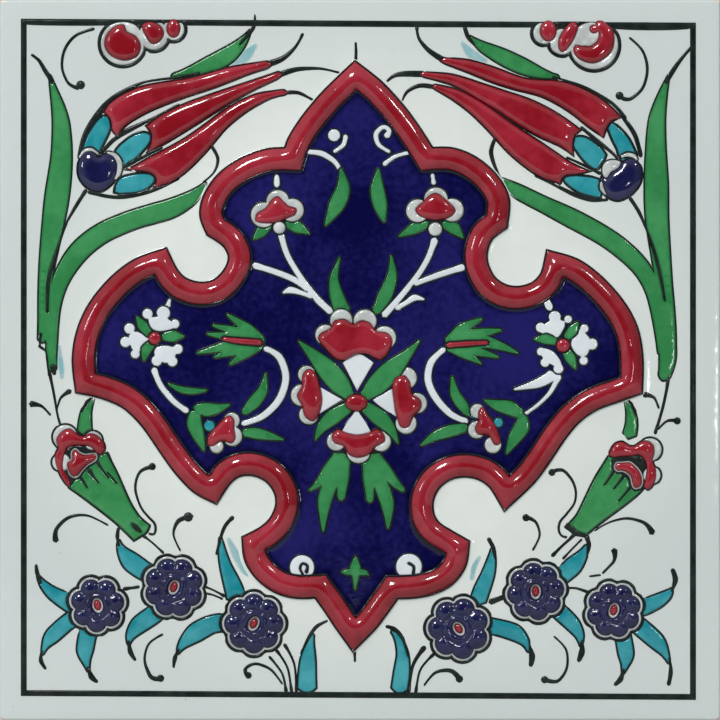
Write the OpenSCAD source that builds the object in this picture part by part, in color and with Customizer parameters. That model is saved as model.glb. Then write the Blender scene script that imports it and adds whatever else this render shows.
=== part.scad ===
// A square wall tile with a raised, hand-painted pattern under clear glaze.
// Every colour field of the pattern is a body of its own, laid on the white glaze or on the cobalt ground.
// The pattern is drawn flat, with X to the right and Y up the wall, and the finished tile is then stood up:
// the back face lies in the plane Y = 0, the painted face looks along -Y and Z is up.

/* [Tile] */
// Length of each side of the tile
tile_w = 200; // [120:1:300]
// Thickness of the fired clay body
body_t = 7; // [5:0.5:12]
// Thickness of the white glaze coat
glaze_t = 0.4; // [0.3:0.1:0.8]
// Height of the rounded arris where the glaze runs over the edge
arris = 0.8; // [0.4:0.1:1.5]

/* [Back] */
// Number of keying ribs on each side of the centre land
ribs = 4; // [2:1:6]
// Depth of the keying grooves in the back
rib_depth = 0.8; // [0.4:0.1:1.5]
// Side of the plain square land in the middle of the back
land_w = 60; // [40:1:80]

/* [Paint and relief] */
// Thickness of flat painted fields
paint_t = 0.3; // [0.2:0.05:0.5]
// Thickness of the black contour lines
line_t = 0.25; // [0.15:0.05:0.4]
// Height of the red frame bead over the white glaze
bead_h = 2.2; // [1.2:0.1:3]
// Height of the raised petals and lobes
relief_h = 1.6; // [0.8:0.1:2.4]
// Width of the red frame bead
bead_w = 6; // [4.5:0.1:7]
// Width of a plain contour line
line_w = 0.6; // [0.4:0.05:0.9]
// Width of the border line
border_w = 1.6; // [1:0.1:2.4]

/* [Hidden] */
scale_to = tile_w / 200;
face_z = body_t + glaze_t;
ground_z = face_z + paint_t;
smooth_steps = 2;
hair = 0.02;

// ---- drawing aids -------------------------------------------------------------------------------

// Point at share t of the way from b to c on a smooth curve that also passes a and d
function curve_point(a, b, c, d, t) =
  0.5 * (2 * b + (c - a) * t + (2 * a - 5 * b + 4 * c - d) * t * t + (3 * b - a - 3 * c + d) * t * t * t);

// Smooth open curve through the points p
function curve(p, steps = smooth_steps) = let (last = len(p) - 1) [
  for (i = [0 : last - 1], k = [0 : steps - 1])
    curve_point(p[max(i - 1, 0)], p[i], p[i + 1], p[min(i + 2, last)], k / steps),
  p[last]
];

// Smooth closed curve through the points p
function ring(p, steps = smooth_steps) = let (n = len(p)) [
  for (i = [0 : n - 1], k = [0 : steps - 1])
    curve_point(p[(i + n - 1) % n], p[i], p[(i + 1) % n], p[(i + 2) % n], k / steps)
];

// Unit vector square to the curve c at its point i
function across(c, i) = let (
  a = c[max(i - 1, 0)], b = c[min(i + 1, len(c) - 1)], d = [b[0] - a[0], b[1] - a[1]]
) [-d[1], d[0]] / norm(d);

// One side of a brush stroke: side is 1 or -1
function stroke_side(c, side) = [
  for (i = [0 : len(c) - 1]) [c[i][0], c[i][1]] + side * c[i][2] / 2 * across(c, i)
];

// Point that closes the end e of a stroke, where q is the next point along it
function stroke_end(e, q) = let (d = [e[0] - q[0], e[1] - q[1]]) [e[0], e[1]] + 0.35 * e[2] * d / norm(d);

function backwards(p) = [for (i = [len(p) - 1 : -1 : 0]) p[i]];

// A brush stroke through points [x, y, width]
module stroke(p) {
  c = curve(p);
  last = len(c) - 1;
  polygon(concat(
    [stroke_end(c[0], c[1])], stroke_side(c, 1),
    [stroke_end(c[last], c[last - 1])], backwards(stroke_side(c, -1))
  ));
}

module strokes(list) {
  for (p = list) stroke(p);
}

// A closed field with a smooth edge
module field(p) {
  polygon(ring(p));
}

// A closed field drawn from smooth sides that meet at corners
module sided_field(sides) {
  polygon([for (s = sides) each curve(s)]);
}

module dots(list) {
  for (d = list) translate([d[0], d[1]]) circle(r = d[2], $fn = d[2] > 2 ? 14 : 12);
}

module oval(x, y, rx, ry, turn = 0) {
  polygon([
    for (a = [0 : 20 : 340]) [x, y] + [
      rx * cos(a) * cos(turn) - ry * sin(a) * sin(turn),
      rx * cos(a) * sin(turn) + ry * sin(a) * cos(turn)
    ]
  ]);
}

// The shape of the children as an even contour line along their edge
module contour(width = line_w) {
  difference() {
    offset(delta = width) children();
    children();
  }
}

// A layer of paint or glaze of thickness t whose underside lies at height z, standing on the wall tile
module layer(z, t) {
  rotate([90, 0, 0])
    scale(scale_to)
      translate([0, 0, z / scale_to])
        linear_extrude(t / scale_to)
          offset(delta = 0) children();
}

// A raised, stepped body: each tier is set in from the one below it
module relief(z, h, inset = 0.45) {
  tiers = [[0, 0, 0.65], [1.4 * inset, 0.65, 0.35]];
  for (tier = tiers)
    rotate([90, 0, 0])
      scale(scale_to)
        translate([0, 0, (z + h * tier[1]) / scale_to])
          linear_extrude(h * tier[2] / scale_to)
            offset(delta = -tier[0]) children();
}

// ---- the ruled border ---------------------------------------------------------------------------

// Outer corners of the hand-ruled border, which is a little out of square
BORDER_CORNERS = [[-94.2, 94.8], [93.3, 93.7], [93.3, -94.4], [-94.2, -93.3]];

// ---- the frame bead -----------------------------------------------------------------------------

// Centre line of the bead, one smooth stretch between each two cusps, clockwise from the top point
FRAME_STRETCHES = [
  [[-1.2, 79], [3.8, 75], [9.4, 69], [14.2, 62.5], [18.5, 55.7]],
  [[18.5, 55.7], [24.9, 55.8], [30.6, 53.6], [35.5, 49.4], [38.3, 44.3], [37.9, 38.5]],
  [[37.9, 38.5], [34.2, 35.4], [32.3, 30.8], [32.5, 26], [35.1, 20.9], [39.5, 17.9], [44.6, 17.3],
   [49.7, 19], [53, 22.6], [54.2, 26.7]],
  [[54.2, 26.7], [59.3, 25], [65.1, 20.7], [70.8, 14.2], [74.2, 7.6], [75.4, 0], [75.3, -7]],
  [[75.3, -7], [70.6, -8.7], [64.4, -11], [58.7, -15], [54.2, -20.4], [50.4, -26.1], [46.2, -31.8],
   [40.8, -37]],
  [[40.8, -37], [38.3, -33.2], [34.4, -30.4], [29.3, -29.3], [24.2, -30.2], [19.9, -33.2], [17.5, -37.6],
   [17.3, -42.7], [19.8, -47.4], [27.1, -52]],
  [[27.1, -52], [26.4, -56.1], [23.6, -59.9], [19.1, -62.1], [14, -63], [8.9, -63.1]],
  [[8.9, -63.1], [5.7, -67.6], [2.2, -72.3], [-1.6, -76.2]],
  [[-1.6, -76.2], [-4.6, -72], [-7.5, -67.6], [-11, -62.8]],
  [[-11, -62.8], [-17.1, -63], [-22.2, -61.7], [-26.5, -58.5], [-29, -54.6], [-29.5, -51]],
  [[-29.5, -51], [-26, -49.1], [-22.5, -45.9], [-20.3, -40.8], [-20.9, -35.7], [-24.1, -31.3], [-29.2, -29],
   [-34.3, -29.3], [-38.1, -31.9], [-41, -36]],
  [[-41, -36], [-44.5, -34], [-49.2, -29], [-53.6, -22.8], [-58.5, -15.9], [-64.3, -10.5], [-71, -7.6],
   [-76.1, -6.4]],
  [[-76.1, -6.4], [-76.7, 0], [-75.6, 7.2], [-72.4, 14.2], [-66.8, 20.9], [-61, 25.2], [-55.4, 27.3]],
  [[-55.4, 27.3], [-53.3, 23.3], [-50.1, 20.1], [-44.6, 18.4], [-38.9, 19.6], [-34.7, 24], [-33.4, 29],
   [-35.6, 33.7], [-40, 36.9]],
  [[-40, 36.9], [-41.3, 40.4], [-40.4, 44.7], [-36.9, 49.6], [-31.1, 53.5], [-24.7, 55.6], [-18.7, 55.7]],
  [[-18.7, 55.7], [-17.4, 59.6], [-13.9, 65.3], [-8.2, 72.2], [-1.2, 79]]
];

function direction(a, b) = (b - a) / norm(b - a);

// Point at distance out from the cusp q, on the line where the edges of two stretches meet
function mitre(before, q, after, out) = let (
  u = direction(before, q), v = direction(q, after),
  n = [-(u[1] + v[1]), u[0] + v[0]], m = n / norm(n), reach = out / max(0.45, abs(m * [-u[1], u[0]]))
) q + m * reach;

// One stretch of the bead, w wide, with square ends
module frame_stretch(p, w) {
  c = [for (q = curve(p)) [q[0], q[1], w]];
  polygon(concat(stroke_side(c, 1), backwards(stroke_side(c, -1))));
}

// The pointed corner that closes the bead where the stretch before meets the stretch after
module frame_corner(before, after, w) {
  a = curve(before);
  b = curve(after);
  n = len(a);
  q = b[0];
  u = direction(a[n - 2], q);
  v = direction(q, b[1]);
  side = u[0] * v[1] - u[1] * v[0] > 0 ? -1 : 1;
  polygon([
    q - 0.3 * (u - v),
    q + side * w / 2 * [-u[1], u[0]],
    mitre(a[n - 2], q, b[1], side * w / 2),
    q + side * w / 2 * [-v[1], v[0]]
  ]);
}

module frame_shape(w) {
  n = len(FRAME_STRETCHES);
  for (i = [0 : n - 1]) {
    frame_stretch(FRAME_STRETCHES[i], w);
    frame_corner(FRAME_STRETCHES[i], FRAME_STRETCHES[(i + 1) % n], w);
  }
}

// Everything inside the centre line of the bead
module medallion_shape() {
  polygon([for (p = FRAME_STRETCHES) let (c = curve(p)) for (i = [0 : len(c) - 2]) c[i]]);
}

// ---- tulips in the upper corners ----------------------------------------------------------------

// Each petal: upper edge from the tip, forked base, lower edge back to the tip
module left_tulip_petal_shape() {
  sided_field([
    [[-25.7, 82.9], [-36.2, 81.3], [-45.2, 78.8], [-52.8, 77.4], [-60.5, 76], [-66.2, 73.6],
     [-69.7, 71], [-71, 68.9]],
    [[-71, 68.9], [-69.3, 66.6], [-68.9, 64], [-67.6, 62.4]],
    [[-67.6, 62.4], [-64.3, 65.7], [-57.9, 69.3], [-49, 72.8], [-39.4, 76], [-31.1, 79.3], [-25.7, 81.1],
     [-24.7, 82.1]]
  ]);
  sided_field([
    [[-22.6, 80], [-33, 76.6], [-42.6, 73.4], [-50.3, 70.5], [-56, 67.5], [-59.4, 65]],
    [[-59.4, 65], [-58, 62.8], [-58.1, 60], [-59, 57.8]],
    [[-59, 57.8], [-55.4, 59.4], [-49, 63.2], [-42.6, 67.2], [-36.2, 71.2], [-29.8, 74.8], [-22.8, 78.2],
     [-21.7, 79.3]]
  ]);
  sided_field([
    [[-21, 74.9], [-28.6, 73.9], [-36.2, 70.4], [-42.6, 65.8], [-47.7, 62.2], [-52.8, 59.2], [-57.9, 56.6],
     [-61.7, 54.4], [-64.6, 52.9]],
    [[-64.6, 52.9], [-60.5, 52.4], [-57.4, 51.4], [-56.6, 49.6], [-57.2, 47.9]],
    [[-57.2, 47.9], [-52.8, 49.2], [-49, 51.7], [-45.2, 55.2], [-41.3, 59.4], [-37.2, 64.3], [-31.1, 69.2],
     [-24.7, 72.7], [-20.9, 73.7], [-20.2, 74.3]]
  ]);
}

module left_tulip_base_shapes() {
  field([
    [-76.7, 57.7], [-76.5, 60.4], [-75.3, 63.3], [-73.4, 66], [-71, 67.7], [-69.4, 67], [-69.4, 64.6],
    [-70.7, 61.4], [-72.8, 57.7], [-74.6, 56.4]
  ]);
  field([
    [-67.8, 58], [-65.4, 60.6], [-62.7, 62.4], [-60, 63.1], [-58.1, 62.2], [-58.6, 60.4], [-60.3, 58.2],
    [-62.7, 55.8], [-65.1, 54.2], [-66.8, 55.6]
  ]);
  field([
    [-66.7, 50.2], [-63.8, 51.3], [-60.6, 51.7], [-57.6, 51.3], [-57.3, 49.6], [-59, 47.8], [-61.6, 46.7],
    [-64.8, 46.4], [-68, 46.7]
  ]);
}

module left_tulip_boss_shape() {
  field([
    [-78.2, 55], [-76.7, 57.5], [-74.3, 57.8], [-72.6, 56.4], [-70.7, 57.3], [-68, 56], [-67, 52.8],
    [-68.2, 49.6], [-71.9, 46.8], [-75.8, 47.8], [-78.2, 51]
  ]);
}

// Pale crescents on the crown of both bosses
module boss_rim_shapes() {
  strokes(BOSS_RIMS);
  field([
    [67.3, 53.4], [68.2, 55], [70.2, 55.6], [72.3, 55], [71.8, 53.4], [69.7, 52.1], [68.6, 50.6],
    [67.5, 51.3]
  ]);
}

BOSS_RIMS = [
  [[-78, 56.2, 0.4], [-76.6, 58, 0.9], [-74.5, 58.4, 0.9], [-72.7, 57.2, 0.4]],
  [[-70.2, 57.6, 0.5], [-68.2, 56.9, 1.2], [-66.8, 54.8, 1.5], [-67, 51.9, 1.3], [-68, 50.3, 0.5]],
  [[72.6, 56.4, 0.5], [74.2, 57, 1.1], [76.1, 56.6, 1.1], [76.9, 55.6, 0.5]],
  [[67, 49.4, 0.5], [67.2, 47.6, 1.1], [68.2, 46, 0.5]]
];

LEFT_TULIP_LINES = [
  [[-78, 56.6, 1], [-76.4, 62.4, 1.5], [-72.8, 68.1, 1.9], [-68.4, 72.8, 1.5], [-60.5, 77, 0.7],
   [-51.5, 78.4, 0.7],
   [-44.5, 79.7, 0.4]],
  [[-71.9, 57.4, 1], [-68.4, 61.2, 1.2], [-64.4, 63.8, 1.5], [-58.4, 66.7, 0.8], [-50.3, 71, 0.5]],
  [[-67.4, 52.4, 1], [-63.8, 54.6, 1.2], [-59.4, 56.8, 0.8], [-55, 59, 0.6]],
  [[-75.4, 46.7, 0.9], [-71, 45.6, 1], [-66.2, 45.2, 1], [-60.6, 46.2, 1.1], [-55.6, 47.8, 0.8],
   [-50.3, 50.4, 0.5]],
  [[-76.1, 47.2, 0.9], [-79, 42.6, 1], [-81.4, 38.4, 0.5]],
  [[-26.2, 82, 1.9], [-21.6, 83.7, 1.5], [-17.9, 87, 0.8], [-15.9, 90.6, 0.7]],
  [[-23, 79, 1.8], [-17.7, 80.7, 1.3], [-10.7, 80.9, 0.7], [-5.3, 79.6, 0.5]],
  [[-21.2, 74.2, 1.2], [-17.1, 74.2, 1], [-12.6, 71.9, 0.5]],
  [[-41.3, 59.5, 0.9], [-39.5, 56, 0.9], [-40.5, 52.2, 0.7], [-43.6, 49.3, 0.5]]
];

module right_tulip_petal_shape() {
  sided_field([
    [[23.3, 83.9], [30.6, 83.2], [38.3, 80.9], [45.9, 78.2], [54.2, 77.6], [59.9, 76.2], [66.3, 73],
     [70.6, 69.4],
     [72.2, 67.4]],
    [[72.2, 67.4], [69.6, 66], [68.4, 64], [67.6, 62]],
    [[67.6, 62], [63.8, 64.5], [59.3, 68.1], [54.8, 71], [49.7, 73.4], [43.4, 75], [37, 77], [30.6, 79.6],
     [23.3, 82.5], [22.5, 83.3]]
  ]);
  sided_field([
    [[17.2, 79.9], [25.5, 79.3], [33.2, 77], [40.8, 74.5], [47.8, 72.1], [54.2, 68.8], [58.7, 65.8],
     [61.3, 63.8]],
    [[61.3, 63.8], [59.6, 62.2], [59.1, 59.4], [59.2, 56.9]],
    [[59.2, 56.9], [55.5, 59.4], [49.7, 62], [43.4, 65.6], [38.3, 69], [31.9, 72.8], [25.5, 76.4],
     [17.9, 78.6], [16.7, 79.2]]
  ]);
  sided_field([
    [[20.7, 76.4], [26.8, 75.2], [33.2, 72], [38.9, 68.1], [44.6, 64.1], [50.4, 60.3], [54.8, 57.3],
     [58.7, 54.7],
     [63.6, 52.4]],
    [[63.6, 52.4], [60.2, 51.6], [56.8, 51], [55.7, 49.2]],
    [[55.7, 49.2], [51, 50.4], [45.9, 53.6], [40.8, 58], [35.7, 63.6], [30.6, 68.6], [25.5, 72.4],
     [20.7, 75.3], [20, 75.9]]
  ]);
}

module right_tulip_base_shapes() {
  field([
    [68.7, 65.4], [69.8, 66], [72.6, 63.8], [74.7, 61.2], [76.2, 58.2], [76.6, 56.4], [72.9, 55.4],
    [71.4, 58.8], [70.1, 61.4]
  ]);
  field([
    [59, 60.6], [60.1, 61.9], [62.7, 61.7], [65.7, 59.8], [68.2, 57], [66.9, 54.5], [65.5, 53.1],
    [62.7, 55], [60.3, 58]
  ]);
  field([
    [56.7, 50.1], [58.2, 51], [61.7, 51], [66.2, 50.1], [66.8, 47.6], [66.7, 45.3], [63.8, 45.7],
    [60.9, 46.6], [58.3, 48.3]
  ]);
}

module right_tulip_boss_shape() {
  field([
    [66.8, 48.6], [67.6, 52.6], [69.6, 55], [72.6, 54.9], [75.3, 56.1], [77.9, 54], [78.1, 49.6],
    [75.3, 45.8], [71.4, 44.2], [68, 45.8]
  ]);
}

RIGHT_TULIP_LINES = [
  [[72.6, 68, 1], [76.3, 62.6, 1.3], [78, 56.6, 1]],
  [[53.6, 78.6, 0.5], [62.2, 75.9, 0.7], [70.4, 71, 0.9], [73.6, 67, 1.2]],
  [[61.4, 64.6, 0.8], [66.3, 60.6, 1.1], [70.4, 57.2, 0.8], [71.8, 55.4, 0.6]],
  [[57.4, 56.3, 0.5], [62.4, 54, 0.8], [66.8, 51.8, 0.9]],
  [[68.8, 44.7, 0.9], [64.4, 44.4, 1], [59.4, 46, 1.2], [54.2, 48.6, 0.9], [48.6, 51.2, 0.5]],
  [[75, 45, 0.9], [77.6, 40.9, 1], [79.5, 36.4, 0.5]],
  [[23.4, 83.2, 1.8], [19.1, 86, 1.3], [16.3, 89.5, 0.8], [15.8, 92.6, 0.7]],
  [[17.4, 79.4, 1.8], [12.8, 79.5, 1.6], [9.6, 79, 1.1], [7.5, 77.4, 0.6]],
  [[21, 75.8, 1.4], [16.6, 76.2, 1.2], [13.1, 74.5, 0.9], [11.7, 71.9, 0.5]],
  [[37.6, 61.7, 0.9], [36.4, 57.9, 1.2], [37.6, 53.4, 1], [39.5, 49.8, 0.5]]
];

// ---- long leaves down both sides ----------------------------------------------------------------

LEFT_LEAVES = [
  [[-86.2, 79, 0.3], [-85, 74.6, 1.9], [-83.2, 66.8, 4.3], [-82.9, 56.6, 5.6], [-84.1, 45.8, 6.5],
   [-85.5, 36.2, 5.6], [-86.9, 26.7, 4.2], [-87.8, 17.1, 3], [-88.2, 5.6, 2.2]],
  [[-42.9, 49, 0.5], [-46.4, 45.4, 3.5], [-52.8, 42, 5.2], [-61.7, 39.4, 5.2], [-71.3, 35.4, 5.4],
   [-78.3, 29.8, 5.4], [-83.1, 22.2, 4.5], [-85.3, 14.5, 4], [-85.8, 5.6, 3.4], [-85.4, -2.6, 1.8]],
  [[-30.4, 91.6, 0.3], [-32.4, 88.7, 2.2], [-36, 85.2, 4.3], [-41.5, 82.1, 4.6], [-47, 79.9, 3.2],
   [-52, 78.9, 0.8]],
  [[-73.9, -10.2, 0.4], [-75.9, -14, 2.6], [-76.4, -18, 3.6], [-76.4, -19.4, 3.8]]
];

RIGHT_LEAVES = [
  [[85.8, 79, 0.3], [84.4, 74.8, 1.9], [82.6, 67.2, 4.3], [82.2, 58.5, 5.4], [82.3, 49, 6.4],
   [82.5, 39.4, 6.2],
   [83.5, 29.8, 5.2], [84.5, 20.3, 4.4], [85.2, 10.7, 4.6], [85.4, 0, 4.4], [84.4, -4.7, 2.8]],
  [[38.3, 50.6, 0.6], [43.4, 47.1, 3.6], [51, 43.2, 4.2], [58.7, 39.4, 5], [67, 34.9, 5], [73.3, 30.4, 5],
   [78.4, 25.2, 4.6], [81.6, 19, 4.2], [83.3, 10.7, 3.6], [84.2, 2, 2.6]],
  [[30.4, 89.8, 0.4], [33.6, 87.3, 2.4], [39.4, 84.3, 4.2], [45.6, 81.4, 4.2], [51, 79.4, 2.4],
   [55, 78.6, 0.6]],
  [[73.4, -10, 0.4], [75.1, -14, 2.3], [75.4, -18, 3.2], [74.9, -20.6, 3.6]]
];

// Contours that swell at the leaf tips, and the veins where two leaves part
LEAF_ACCENTS = [
  [[-91.2, 84.8, 0.6], [-89.2, 83.2, 0.9], [-87.6, 80.6, 1.2], [-86.2, 78.4, 1.2], [-85.5, 76.8, 0.5]],
  [[-86.8, 13.2, 0.5], [-86.4, 22.6, 1], [-83.6, 32, 0.6], [-81.4, 38.4, 0.5]],
  [[-88.6, 7.4, 0.5], [-89, 3.8, 0.9], [-87.4, 2.6, 0.6], [-86.7, -2, 0.5], [-86.4, -4.4, 0.5]],
  [[-85.2, -1.8, 1.8], [-84.9, -3.9, 1]],
  [[-29.2, 95.9, 0.35], [-29.4, 92.8, 1], [-31, 90.4, 1], [-33.4, 87.6, 0.4]],
  [[-73.4, -9.8, 0.6], [-75.8, -11.6, 1], [-77.4, -14.4, 0.5]],
  [[91.9, 86.8, 0.7], [89, 83.3, 1], [87.1, 80.6, 1.3], [85.8, 78.4, 1.2], [85, 76.8, 0.5]],
  [[79.5, 36.4, 0.6], [81.8, 29.8, 0.9], [83.6, 22.6, 0.8], [84.7, 16.4, 0.5]],
  [[29, 92.6, 1], [30, 89.8, 1.2], [31.8, 87.4, 0.5]],
  [[73.2, -10, 0.8], [75.4, -12.2, 0.9], [77, -16, 0.5]]
];

TURQUOISE_WASHES = [
  [[-29, 87.6, 1], [-32, 84.4, 3], [-36.4, 82.2, 1.2]],
  [[28.2, 88.4, 0.8], [30.8, 85.2, 2.6], [35, 83.2, 1]],
  [[-83.8, 4, 0.8], [-83, -2, 1.6], [-82.8, -5, 0.8]],
  [[-36.6, -49.6, 0.8], [-34.8, -53.4, 2.2], [-32, -58.4, 2], [-31, -60, 0.6]],
  [[33.2, -54.6, 0.6], [31.7, -57.4, 1.4], [31, -60.8, 0.8]]
];

// ---- cloud scrolls that hang from the top border ------------------------------------------------

module left_cloud_lobe_shape() {
  field([
    [-68, 92.6], [-70.3, 90.4], [-70.9, 87.2], [-69, 84.4], [-65.2, 83.2], [-61.9, 84.4], [-60.9, 87.2],
    [-62.2, 89.8], [-64.8, 91.2], [-65.6, 93.1]
  ]);
  field([[-60.6, 93], [-57.9, 93.9], [-55.3, 92.7], [-54.5, 90.4], [-55.9, 88.3], [-57.9, 87.9],
  [-59.5, 90]]);
  oval(-51.8, 92.1, 1.9, 2.6);
}

module right_cloud_lobe_shape() {
  oval(52.3, 91.4, 2.3, 2.9);
  stroke([[59.5, 93, 2.6], [58.4, 91.2, 3.6], [56.9, 88.4, 3.6], [56.2, 86.2, 2]]);
  stroke([[66.2, 93.3, 2.6], [68.3, 91, 4], [67.9, 87.2, 4.8], [64.6, 84.8, 4.8], [61.2, 85.6, 3.6],
  [60.2, 86.8, 2]]);
  dots([[65, 91.9, 1.2]]);
}

module cloud_rim_shape() {
  intersection() {
    dots([[-65.9, 88, 6.1], [-57.3, 90.2, 4.1], [-51.8, 91.8, 3], [51.2, 90.8, 3.1], [56.2, 88.4, 3.6],
    [65, 87.4, 6.7]]);
    translate([-80, 70]) square([160, 23.6]);
  }
}

CLOUD_LINES = [
  [[-73.9, 92, 0.7], [-79, 90.1, 0.8], [-82.1, 86, 0.8], [-82.7, 80.9, 0.7], [-80.8, 76.7, 0.8],
   [-78.2, 75.6, 1.2]],
  [[74.9, 89.5, 0.5], [78.4, 86, 0.7], [79.8, 80.9, 0.8], [78.4, 75.4, 0.8], [74.6, 72.4, 1],
   [72.2, 73.2, 1.3]]
];
CLOUD_DOTS = [[-77.6, 76.4, 1.2], [72.1, 73.4, 1.1]];

// ---- carnations at both sides -------------------------------------------------------------------

module left_carnation_shape() {
  field([
    [-80.9, -35.2], [-82.8, -32.8], [-84.2, -29.6], [-84.7, -26.4], [-83.8, -24.4], [-84.3, -22.4],
    [-83, -20.2],
    [-80.7, -19.1], [-78.4, -20.6], [-76.8, -21.2], [-75.1, -20.4], [-72.8, -21.1], [-71.2, -23],
    [-70.9, -24.8],
    [-71.9, -26.2], [-73.4, -25.6], [-74.7, -24.2], [-76.5, -23.8], [-79.4, -23.8], [-81.3, -24.6],
    [-82.3, -27],
    [-82.6, -29.6], [-81.6, -31.8], [-80.6, -33.8]
  ]);
  left_inner_petal_shape();
}

module left_inner_petal_shape() {
  field([
    [-79.1, -24.9], [-77.8, -25.9], [-76.2, -26.4], [-73.6, -26.2], [-73.6, -27.7], [-75.5, -28.9],
    [-77.1, -30.4],
    [-78.7, -32.3], [-80.2, -32], [-81.1, -30.2], [-81.2, -28.6], [-80, -27.7], [-80, -25.9]
  ]);
}

module right_carnation_shape() {
  field([
    [69.3, -26.4], [69.7, -24.8], [70.9, -23.2], [72.9, -22.7], [74.8, -23.8], [76.4, -23.8], [78, -22.7],
    [79.9, -22.5], [81.5, -23.8], [81.7, -26.1], [81.2, -28], [82.1, -30.2], [82.1, -33.1], [81.2, -35],
    [79.9, -36], [78.9, -35], [79.3, -33.1], [79.6, -31.2], [79.6, -29.3], [79, -27.7], [77.4, -26.4],
    [75.4, -26.7], [72.9, -26.8], [70.6, -27]
  ]);
  right_inner_petal_shape();
}

module right_inner_petal_shape() {
  field([
    [70.9, -29.9], [71.3, -28.7], [72.9, -28.6], [74.8, -28.5], [76.4, -29.6], [77.7, -31.2], [78.3, -33.1],
    [77.9, -35], [76.4, -35.5], [75.7, -34.4], [75.4, -32.8], [74.5, -31.5], [72.9, -30.7], [71.6, -30.7]
  ]);
}

// Narrow pale rim that shows past the outer edge of the petals
module carnation_rim_shape() {
  dots([[-81.9, -21.4, 3.4], [-83, -28.4, 2.5], [-74.2, -22.4, 2.6], [80.6, -24.9, 3.2], [81.1, -32, 2.4]]);
  offset(delta = 0.4) left_inner_petal_shape();
  offset(delta = 0.4) right_inner_petal_shape();
}

// Dark ground between the outer petals and the inner ones
module carnation_heart_shape() {
  field([
    [-81.8, -33.4], [-82.8, -29.6], [-82.2, -25.6], [-80, -23.6], [-76, -23.4], [-73.2, -24.6],
    [-72.8, -27],
    [-76, -29.6], [-78.8, -32.2], [-80.4, -34.2]
  ]);
  field([
    [70.2, -26.8], [74, -26.4], [77.6, -26.2], [79.6, -28], [80, -31.4], [79.6, -34.6], [78.6, -36.2],
    [76.4, -35.8], [74.2, -33], [71.4, -31], [70.2, -29.4]
  ]);
}

module calyx_shape() {
  sided_field([
    [[-70.4, -26], [-67.6, -31.4], [-65.4, -36.4], [-63.6, -40.2], [-61.2, -43.8], [-58.6, -46]],
    [[-58.6, -46], [-59.4, -47.8], [-62.8, -50]],
    [[-62.8, -50], [-67.8, -45.2], [-74.4, -40], [-80.6, -35.4]],
    [[-80.6, -35.4], [-78.6, -32.8], [-76, -30.2], [-73.4, -27.2], [-70.4, -26]]
  ]);
  sided_field([
    [[69, -27], [65.6, -32.4], [62.8, -38], [60.2, -43.2], [57.4, -46.2]],
    [[57.4, -46.2], [60, -48.4], [62.6, -48.6]],
    [[62.6, -48.6], [67.6, -44.6], [73, -40.6], [77, -37.4], [79, -35.2]],
    [[79, -35.2], [77.4, -33.2], [75, -30.6], [72, -28.2], [69, -27]]
  ]);
}

CARNATION_LINES = [
  [[-78, -32.2, 1], [-76.6, -34.1, 0.5], [-75.7, -35.6, 0.3]],
  [[-75.2, -30.6, 1.1], [-74, -32.5, 0.6], [-72.6, -34.2, 0.3]],
  [[-73, -28.4, 0.9], [-71.5, -30.6, 0.5], [-69.8, -32.8, 0.3]],
  [[-70.2, -31.2, 0.3], [-68.8, -32.8, 0.5], [-67.5, -34.4, 0.3]],
  [[-63.4, -45.4, 0.4], [-62.2, -46.6, 1.4], [-60.8, -47.8, 0.5]],
  [[70.8, -30.4, 0.9], [69.3, -32.8, 0.5], [67.9, -34.8, 0.3]],
  [[73.6, -31.8, 0.9], [71.9, -34.1, 0.5], [70.5, -35.8, 0.3]],
  [[75.8, -34.6, 0.9], [73.8, -37, 0.5], [71.9, -39.2, 0.3]],
  [[57.6, -45.6, 1.2], [60, -48, 1.4], [62.6, -48.8, 1]],
  [[-86.3, -3.2, 0.8], [-85, -9.6, 0.7], [-84, -15.3, 0.6], [-83.1, -18.4, 0.8]],
  [[-80.5, -8.6, 1.3], [-83.1, -10.5, 0.7], [-84.2, -14, 0.4]],
  [[-91.4, -12.2, 1.8], [-88.5, -12.8, 0.8], [-86, -15.3, 0.5]],
  [[-57.2, -29.5, 1.4], [-61, -31, 0.8], [-62.4, -35.7, 0.7], [-60.5, -41.5, 0.6], [-57, -45.6, 0.7],
   [-57.2, -48.3, 0.7], [-58.6, -48.2, 0.6]],
  [[-84.5, -50.2, 1.7], [-84.4, -47.2, 1.1], [-81, -43.8, 0.9], [-75.8, -43.2, 0.6], [-70, -45.9, 0.4]],
  [[-46.8, -43.4, 1.6], [-50.3, -44.6, 1.2], [-51.8, -48.4, 0.6], [-49.9, -53, 0.4]],
  [[85.8, -5, 0.8], [84.2, -12.8, 0.8], [82, -20.4, 0.8]],
  [[79, -9.6, 1.6], [81.6, -10.4, 0.8], [83, -13.4, 0.5]],
  [[88.4, -16.9, 1.2], [85.4, -16.9, 0.7], [82.8, -19.2, 0.5]],
  [[53, -31.2, 1.2], [56.2, -30.6, 0.9], [59.4, -34.4, 0.7], [59.6, -39.6, 0.6], [55.4, -45.4, 0.7],
   [55.8, -48.6, 0.6], [57.4, -49.2, 0.6]],
  [[45.9, -43.7, 1.4], [48.6, -44.8, 0.8], [49.9, -48.6, 0.6], [48, -52.8, 0.5]],
  [[81.2, -48, 1.8], [79.2, -45.4, 1], [74.2, -44, 0.7], [69, -45.2, 0.5], [65.2, -47.4, 0.4]],
  [[70.6, -52.8, 1.8], [70.6, -55.6, 0.9], [67.4, -59.2, 0.5]],
  [[63.8, -60.1, 0.4], [66.8, -59.7, 0.4]]
];
CARNATION_DOTS = [[-57.7, -29.6, 1], [-47.7, -43.6, 1.3], [88.1, -16.9, 1], [53.3, -31.2, 1],
[46.1, -43.8, 1]];

// ---- blue rosettes along the bottom -------------------------------------------------------------

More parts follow.
